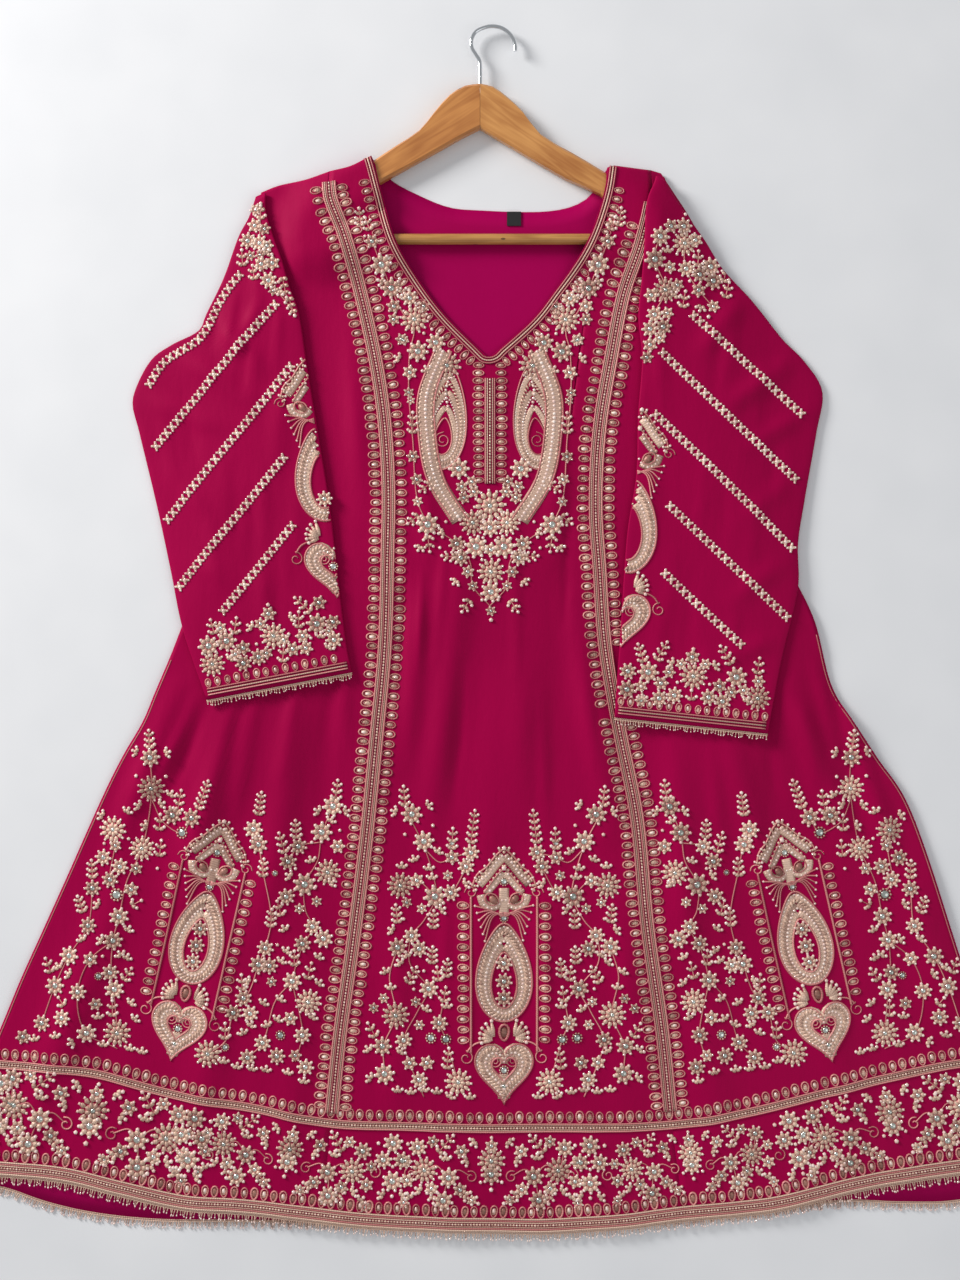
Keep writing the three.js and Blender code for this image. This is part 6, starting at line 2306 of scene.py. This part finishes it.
    def sleeves(self) -> None:
        """Works the vines, half medallions, shoulder clusters and cuffs of the sleeves."""
        terrain = self.garment.terrain
        for name, room, cloth, vines, clusters, place in (
            ("left", self.left_room, terrain.left_sleeve, SLEEVE_LEFT_VINES, (LEFT_SHOULDER, LEFT_CUFF),
             Placement(x=307, y=360, turn=7.5, scale=0.94)),
            ("right", self.right_room, terrain.right_sleeve, SLEEVE_RIGHT_VINES, (RIGHT_SHOULDER, RIGHT_CUFF),
             Placement(x=641, y=411, turn=-5.5, scale=0.94)),
        ):
            work = Needlework(self.garment.kit, 61 + len(name), room.at)
            for vine in vines:
                path = Path(from_plan(vine))
                at, _, angle = path.stations(int(path.length / (8.2 * UNIT)))
                work.lay_down("quatrefoil", at, angle, 4.9 * UNIT)
            for spray in clusters:
                spray.work(Hand(work))
            Arch(Hand(work, place), framed=False).work()
            cuff = cuff_line(name).beside(8 * MM)
            leaf_row(work, cuff, 9.5 * UNIT, 1, 9 * UNIT, 6.6 * UNIT, offset=4.6 * MM)
            self._finish(work, f"needlework_sleeve_{name}", cloth, f"sleeve_{name}")

    def build(self) -> None:
        """Works every region."""
        self.neck()
        self.band_rows()
        self.skirt()
        self.hem()
        self.sleeves()


# Studio
class Studio:
    """The plain pale floor, the soft light and the camera above."""

    VIEW_CENTRE = (-0.0057, -0.0074)
    VIEW_HEIGHT = 1.344
    CAMERA_HEIGHT = 1.5
    SENSOR = 36.0
    FILL = 0.42
    # Lamps: name, place, side in metres, watts, tint
    LAMPS = (
        ("window", (-2.6, 1.9, 1.25), 1.0, 124.0, (1.0, 0.99, 0.97)),
        ("fill", (1.9, -1.0, 2.2), 2.0, 14.0, (0.97, 0.98, 1.0)),
    )

    def floor(self) -> None:
        """Lays the floor."""
        bm = bmesh.new()
        bmesh.ops.create_grid(bm, x_segments=2, y_segments=2, size=9.0)
        bmesh.ops.translate(bm, verts=bm.verts, vec=(0, 0, -0.0004))
        plane = mesh_object("floor", bm)
        plane.data.materials.append(FLOOR_FINISH.material())

    def light(self, name: str, at: Size, size: float, power: float, tint: Size) -> None:
        """Hangs a soft lamp aimed at the middle.

        Args:
            name: Name of the lamp.
            at: Where it hangs.
            size: Side of its square face.
            power: Its power in watts.
            tint: Its colour.
        """
        lamp = bpy.data.lights.new(name, "AREA")
        lamp.shape = "SQUARE"
        lamp.size = size
        lamp.energy = power
        lamp.color = tint
        made = bpy.data.objects.new(name, lamp)
        made.location = at
        made.rotation_euler = (-Vector(at)).to_track_quat("-Z", "Y").to_euler()
        bpy.context.scene.collection.objects.link(made)

    def sky(self, strength: float) -> None:
        """Fills in from all round.

        Args:
            strength: Brightness of the fill.
        """
        world = bpy.data.worlds.new("soft sky")
        world.use_nodes = True
        world.node_tree.nodes["Background"].inputs["Color"].default_value = (0.96, 0.98, 1.0, 1.0)
        world.node_tree.nodes["Background"].inputs["Strength"].default_value = strength
        bpy.context.scene.world = world

    def camera(self) -> None:
        """Sets the camera straight above, the neck at the top."""
        data = bpy.data.cameras.new("view")
        data.sensor_fit = "VERTICAL"
        data.sensor_height = self.SENSOR
        data.lens = self.SENSOR * self.CAMERA_HEIGHT / self.VIEW_HEIGHT
        made = bpy.data.objects.new("view", data)
        made.location = (*self.VIEW_CENTRE, self.CAMERA_HEIGHT + 0.002)
        bpy.context.scene.collection.objects.link(made)
        bpy.context.scene.camera = made

    def build(self) -> None:
        """Sets everything up."""
        self.floor()
        for lamp in self.LAMPS:
            self.light(*lamp)
        self.sky(self.FILL)
        self.camera()
        bpy.context.scene.view_settings.view_transform = "Standard"


def dress_hanger(nodes: dict) -> None:
    """Gives the hanger its wood and wire.

    Args:
        nodes: The frame's nodes by name.
    """
    tones = (
        ("hanger_arm_left", wood_finish("left arm wood", 33.0, Colour(156, 88, 34), Colour(222, 152, 82))),
        ("hanger_arm_right", wood_finish("right arm wood", -33.0, Colour(166, 98, 40), Colour(232, 168, 96))),
        ("hanger_bar", wood_finish("bar wood", 0.0, Colour(150, 96, 44), Colour(216, 160, 88))),
    )
    for name, finish in tones:
        node = nodes[name]
        node.data.materials.clear()
        node.data.materials.append(finish.material())
    for name in ("hanger_arm_left", "hanger_arm_right"):
        bevel = nodes[name].modifiers.new("worn edges", "BEVEL")
        bevel.width = 0.7 * MM
        bevel.segments = 2
        bevel.limit_method = "ANGLE"
    curve = bpy.data.curves.new("hook_wire", "CURVE")
    curve.dimensions = "3D"
    curve.bevel_depth = 2.0 * MM
    curve.bevel_resolution = 6
    curve.use_fill_caps = True
    points = cut_path(HOOK).share(np.linspace(0, 1, 60))
    spline = curve.splines.new("POLY")
    spline.points.add(len(points) - 1)
    for point, (x, y) in zip(spline.points, points):
        point.co = (x, y, 7.6 * MM, 1.0)
    curve.materials.append(WIRE_FINISH.material())
    hook = bpy.data.objects.new("hook_wire", curve)
    bpy.context.scene.collection.objects.link(hook)
    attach(hook, "root")
    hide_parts("hanger_hook")
    nodes["neck_label"].data.materials.clear()
    nodes["neck_label"].data.materials.append(LABEL_FINISH.material())


class Garment:
    """The whole kurta: its cloth, its braids and lace, and its needlework."""

    FRONT_ROWS = 184
    # Each piece's cut in metres, and what it rests on
    CUTS = {
        "back": ((1.17, 1.13), ["floor"]),
        "front_left": ((0.48, 1.11), ["cloth_back"]),
        "front_centre": ((0.39, 1.13), ["cloth_back", "hanger_arm_left", "hanger_arm_right"]),
        "front_right": ((0.47, 1.11), ["cloth_back"]),
        "sleeve_left": ((0.44, 0.56), ["cloth_front_left"]),
        "sleeve_right": ((0.43, 0.6), ["cloth_front_right"]),
    }

    def __init__(self) -> None:
        self.terrain = Terrain()
        self.kit = Kit()
        self.front_top = self.terrain.front.raised(CLOTH)
        self.back_top = HeightField(np.full_like(self.front_top.heights, BACK_LIFT + BACK_CLOTH))
        self.sheets: list[tuple[bpy.types.Object, str, float]] = []
        self.on: dict[str, list[bpy.types.Object]] = {node: [] for node in self.CUTS}

    def cloth(self) -> None:
        """Makes every piece of cloth."""
        front = self.terrain.front
        back = HeightField(np.full_like(front.heights, BACK_LIFT))
        rows = self.FRONT_ROWS
        panels = [
            Panel("cloth_back", SIDE_LEFT, SIDE_RIGHT, [
                (SHOULDER_LEFT_SIDE, 6), (SHOULDER_LEFT_CENTRE, 4), (BACK_NECK, 28),
                (SHOULDER_RIGHT_CENTRE, 4), (SHOULDER_RIGHT_SIDE, 3),
            ], [(BACK_HEM, 45)], back, 60, BACK_CLOTH, False),
            Panel("cloth_front_left", SIDE_LEFT, BAND_LEFT,
                  [(SHOULDER_LEFT_SIDE, 50)], [(HEM_LEFT, 50)], front, rows),
            Panel("cloth_front_centre", BAND_LEFT, BAND_RIGHT, [
                (SHOULDER_LEFT_CENTRE, 8), (NECK_LEFT, 26), (NECK_RIGHT, 26), (SHOULDER_RIGHT_CENTRE, 8),
            ], [(HEM_CENTRE_LEFT, 34), (HEM_CENTRE_RIGHT, 34)], front, rows),
            Panel("cloth_front_right", BAND_RIGHT, SIDE_RIGHT,
                  [(SHOULDER_RIGHT_SIDE, 48)], [(HEM_RIGHT, 48)], front, rows),
        ]
        for panel in panels:
            node = panel.name.replace("cloth_", "")
            self._declare(panel.build(), node, panel.area())
        land = self.terrain
        for side, outer, inner, low, high in (
            ("left", SLEEVE_LEFT_OUTER, SLEEVE_LEFT_INNER, land.left_low, land.left_sleeve),
            ("right", SLEEVE_RIGHT_OUTER, SLEEVE_RIGHT_INNER, land.right_low, land.right_sleeve),
        ):
            sleeve = Sleeve(f"cloth_sleeve_{side}", outer, inner, low, high)
            self._declare(sleeve.build(), f"sleeve_{side}", sleeve.area())

    def _declare(self, piece: bpy.types.Object, node: str, area: float) -> None:
        """Gives a piece of cloth its finish and notes it as a sheet."""
        piece.data.materials.append((INSIDE_FINISH if node == "back" else CLOTH_FINISH).material())
        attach(piece, "root")
        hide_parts(node)
        self.sheets.append((piece, node, area))

    def trims(self) -> None:
        """Makes the braids and the lace."""
        band_left, band_right = cut_path(BAND_LEFT), cut_path(BAND_RIGHT)
        cuff_left, cuff_right = cuff_line("left"), cuff_line("right")
        hem = cut_path(HEM_LINE)
        neck = [cut_path(rows).beside(-5.2 * MM) for rows in (NECK_LEFT, NECK_RIGHT)]
        self.neck_left, self.neck_right = neck[0].part(0.08, 0.97), neck[1].part(0.03, 0.92)
        ends = (neck[0].share(np.linspace(0, 0.985, 24)), neck[1].share(np.linspace(0.015, 1, 24)))
        neck_line, placket, hem_upper = Path(np.vstack(ends)), cut_path(PLACKET), cut_path(HEM_UPPER)
        bands = (band_left.part(0.012, 0.897), band_right.part(0.034, 0.897))
        cuffs = [cuff.beside(8 * MM).part(0.02, 0.98) for cuff in (cuff_left, cuff_right)]
        top, left, right = self.front_top, self.terrain.left_sleeve, self.terrain.right_sleeve
        # Name of the piece, its node, width in millimetres, cords, whether it has sequins, line, cloth, sheet
        for name, node, width, cords, sequins, path, cloth, sheet in (
            ("band_left", "band_braid_left", 14.5, BAND_CORDS, 0.0, bands[0], top, "front_left"),
            ("band_right", "band_braid_right", 14.5, BAND_CORDS, 0.0, bands[1], top, "front_right"),
            ("neck", "neck_braid", 8, NECK_CORDS, None, neck_line, top, "front_centre"),
            ("placket", "placket_braid", 12, HEM_CORDS, 0.0, placket, top, "front_centre"),
            ("hem_upper", "hem_braid_upper", 9.5, HEM_CORDS, 0.0, hem_upper, top, "front_centre"),
            ("hem_lower", "hem_braid_lower", 14, WIDE_CORDS, 0.0, hem.beside(7.4 * MM), top, "front_centre"),
            ("cuff_left", "cuff_braid_left", 9, NECK_CORDS, None, cuffs[0], left, "sleeve_left"),
            ("cuff_right", "cuff_braid_right", 9, NECK_CORDS, None, cuffs[1], right, "sleeve_right"),
        ):
            braid = Braid(f"braid_{name}", node, width * MM, cords, sequins)
            self.on[sheet].append(braid.build(self.kit, path, cloth))
        # Name of the piece, its node, length of its stitches in millimetres, line, cloth, sheet
        for name, node, long, path, cloth, sheet in (
            ("lace_front", "hem_lace_front", 10, hem, top.raised(-0.4 * MM), "front_centre"),
            ("lace_back", "hem_lace_back", 10, cut_path(BACK_HEM), self.back_top.raised(-0.3 * MM), "back"),
            ("lace_cuff_left", "cuff_lace_left", 7, cuff_left, left.raised(-1.2 * MM), "sleeve_left"),
            ("lace_cuff_right", "cuff_lace_right", 7, cuff_right, right.raised(-1.2 * MM), "sleeve_right"),
        ):
            self.on[sheet].append(Lace(name, node, long * MM).build(self.kit, path, cloth, -1.0))


def main() -> None:
    """Builds the whole scene."""
    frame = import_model()
    garment = Garment()
    garment.cloth()
    garment.trims()
    Embroidery(garment).build()
    dress_hanger(frame["nodes"])
    Studio().build()


if __name__ == "__main__":
    main()
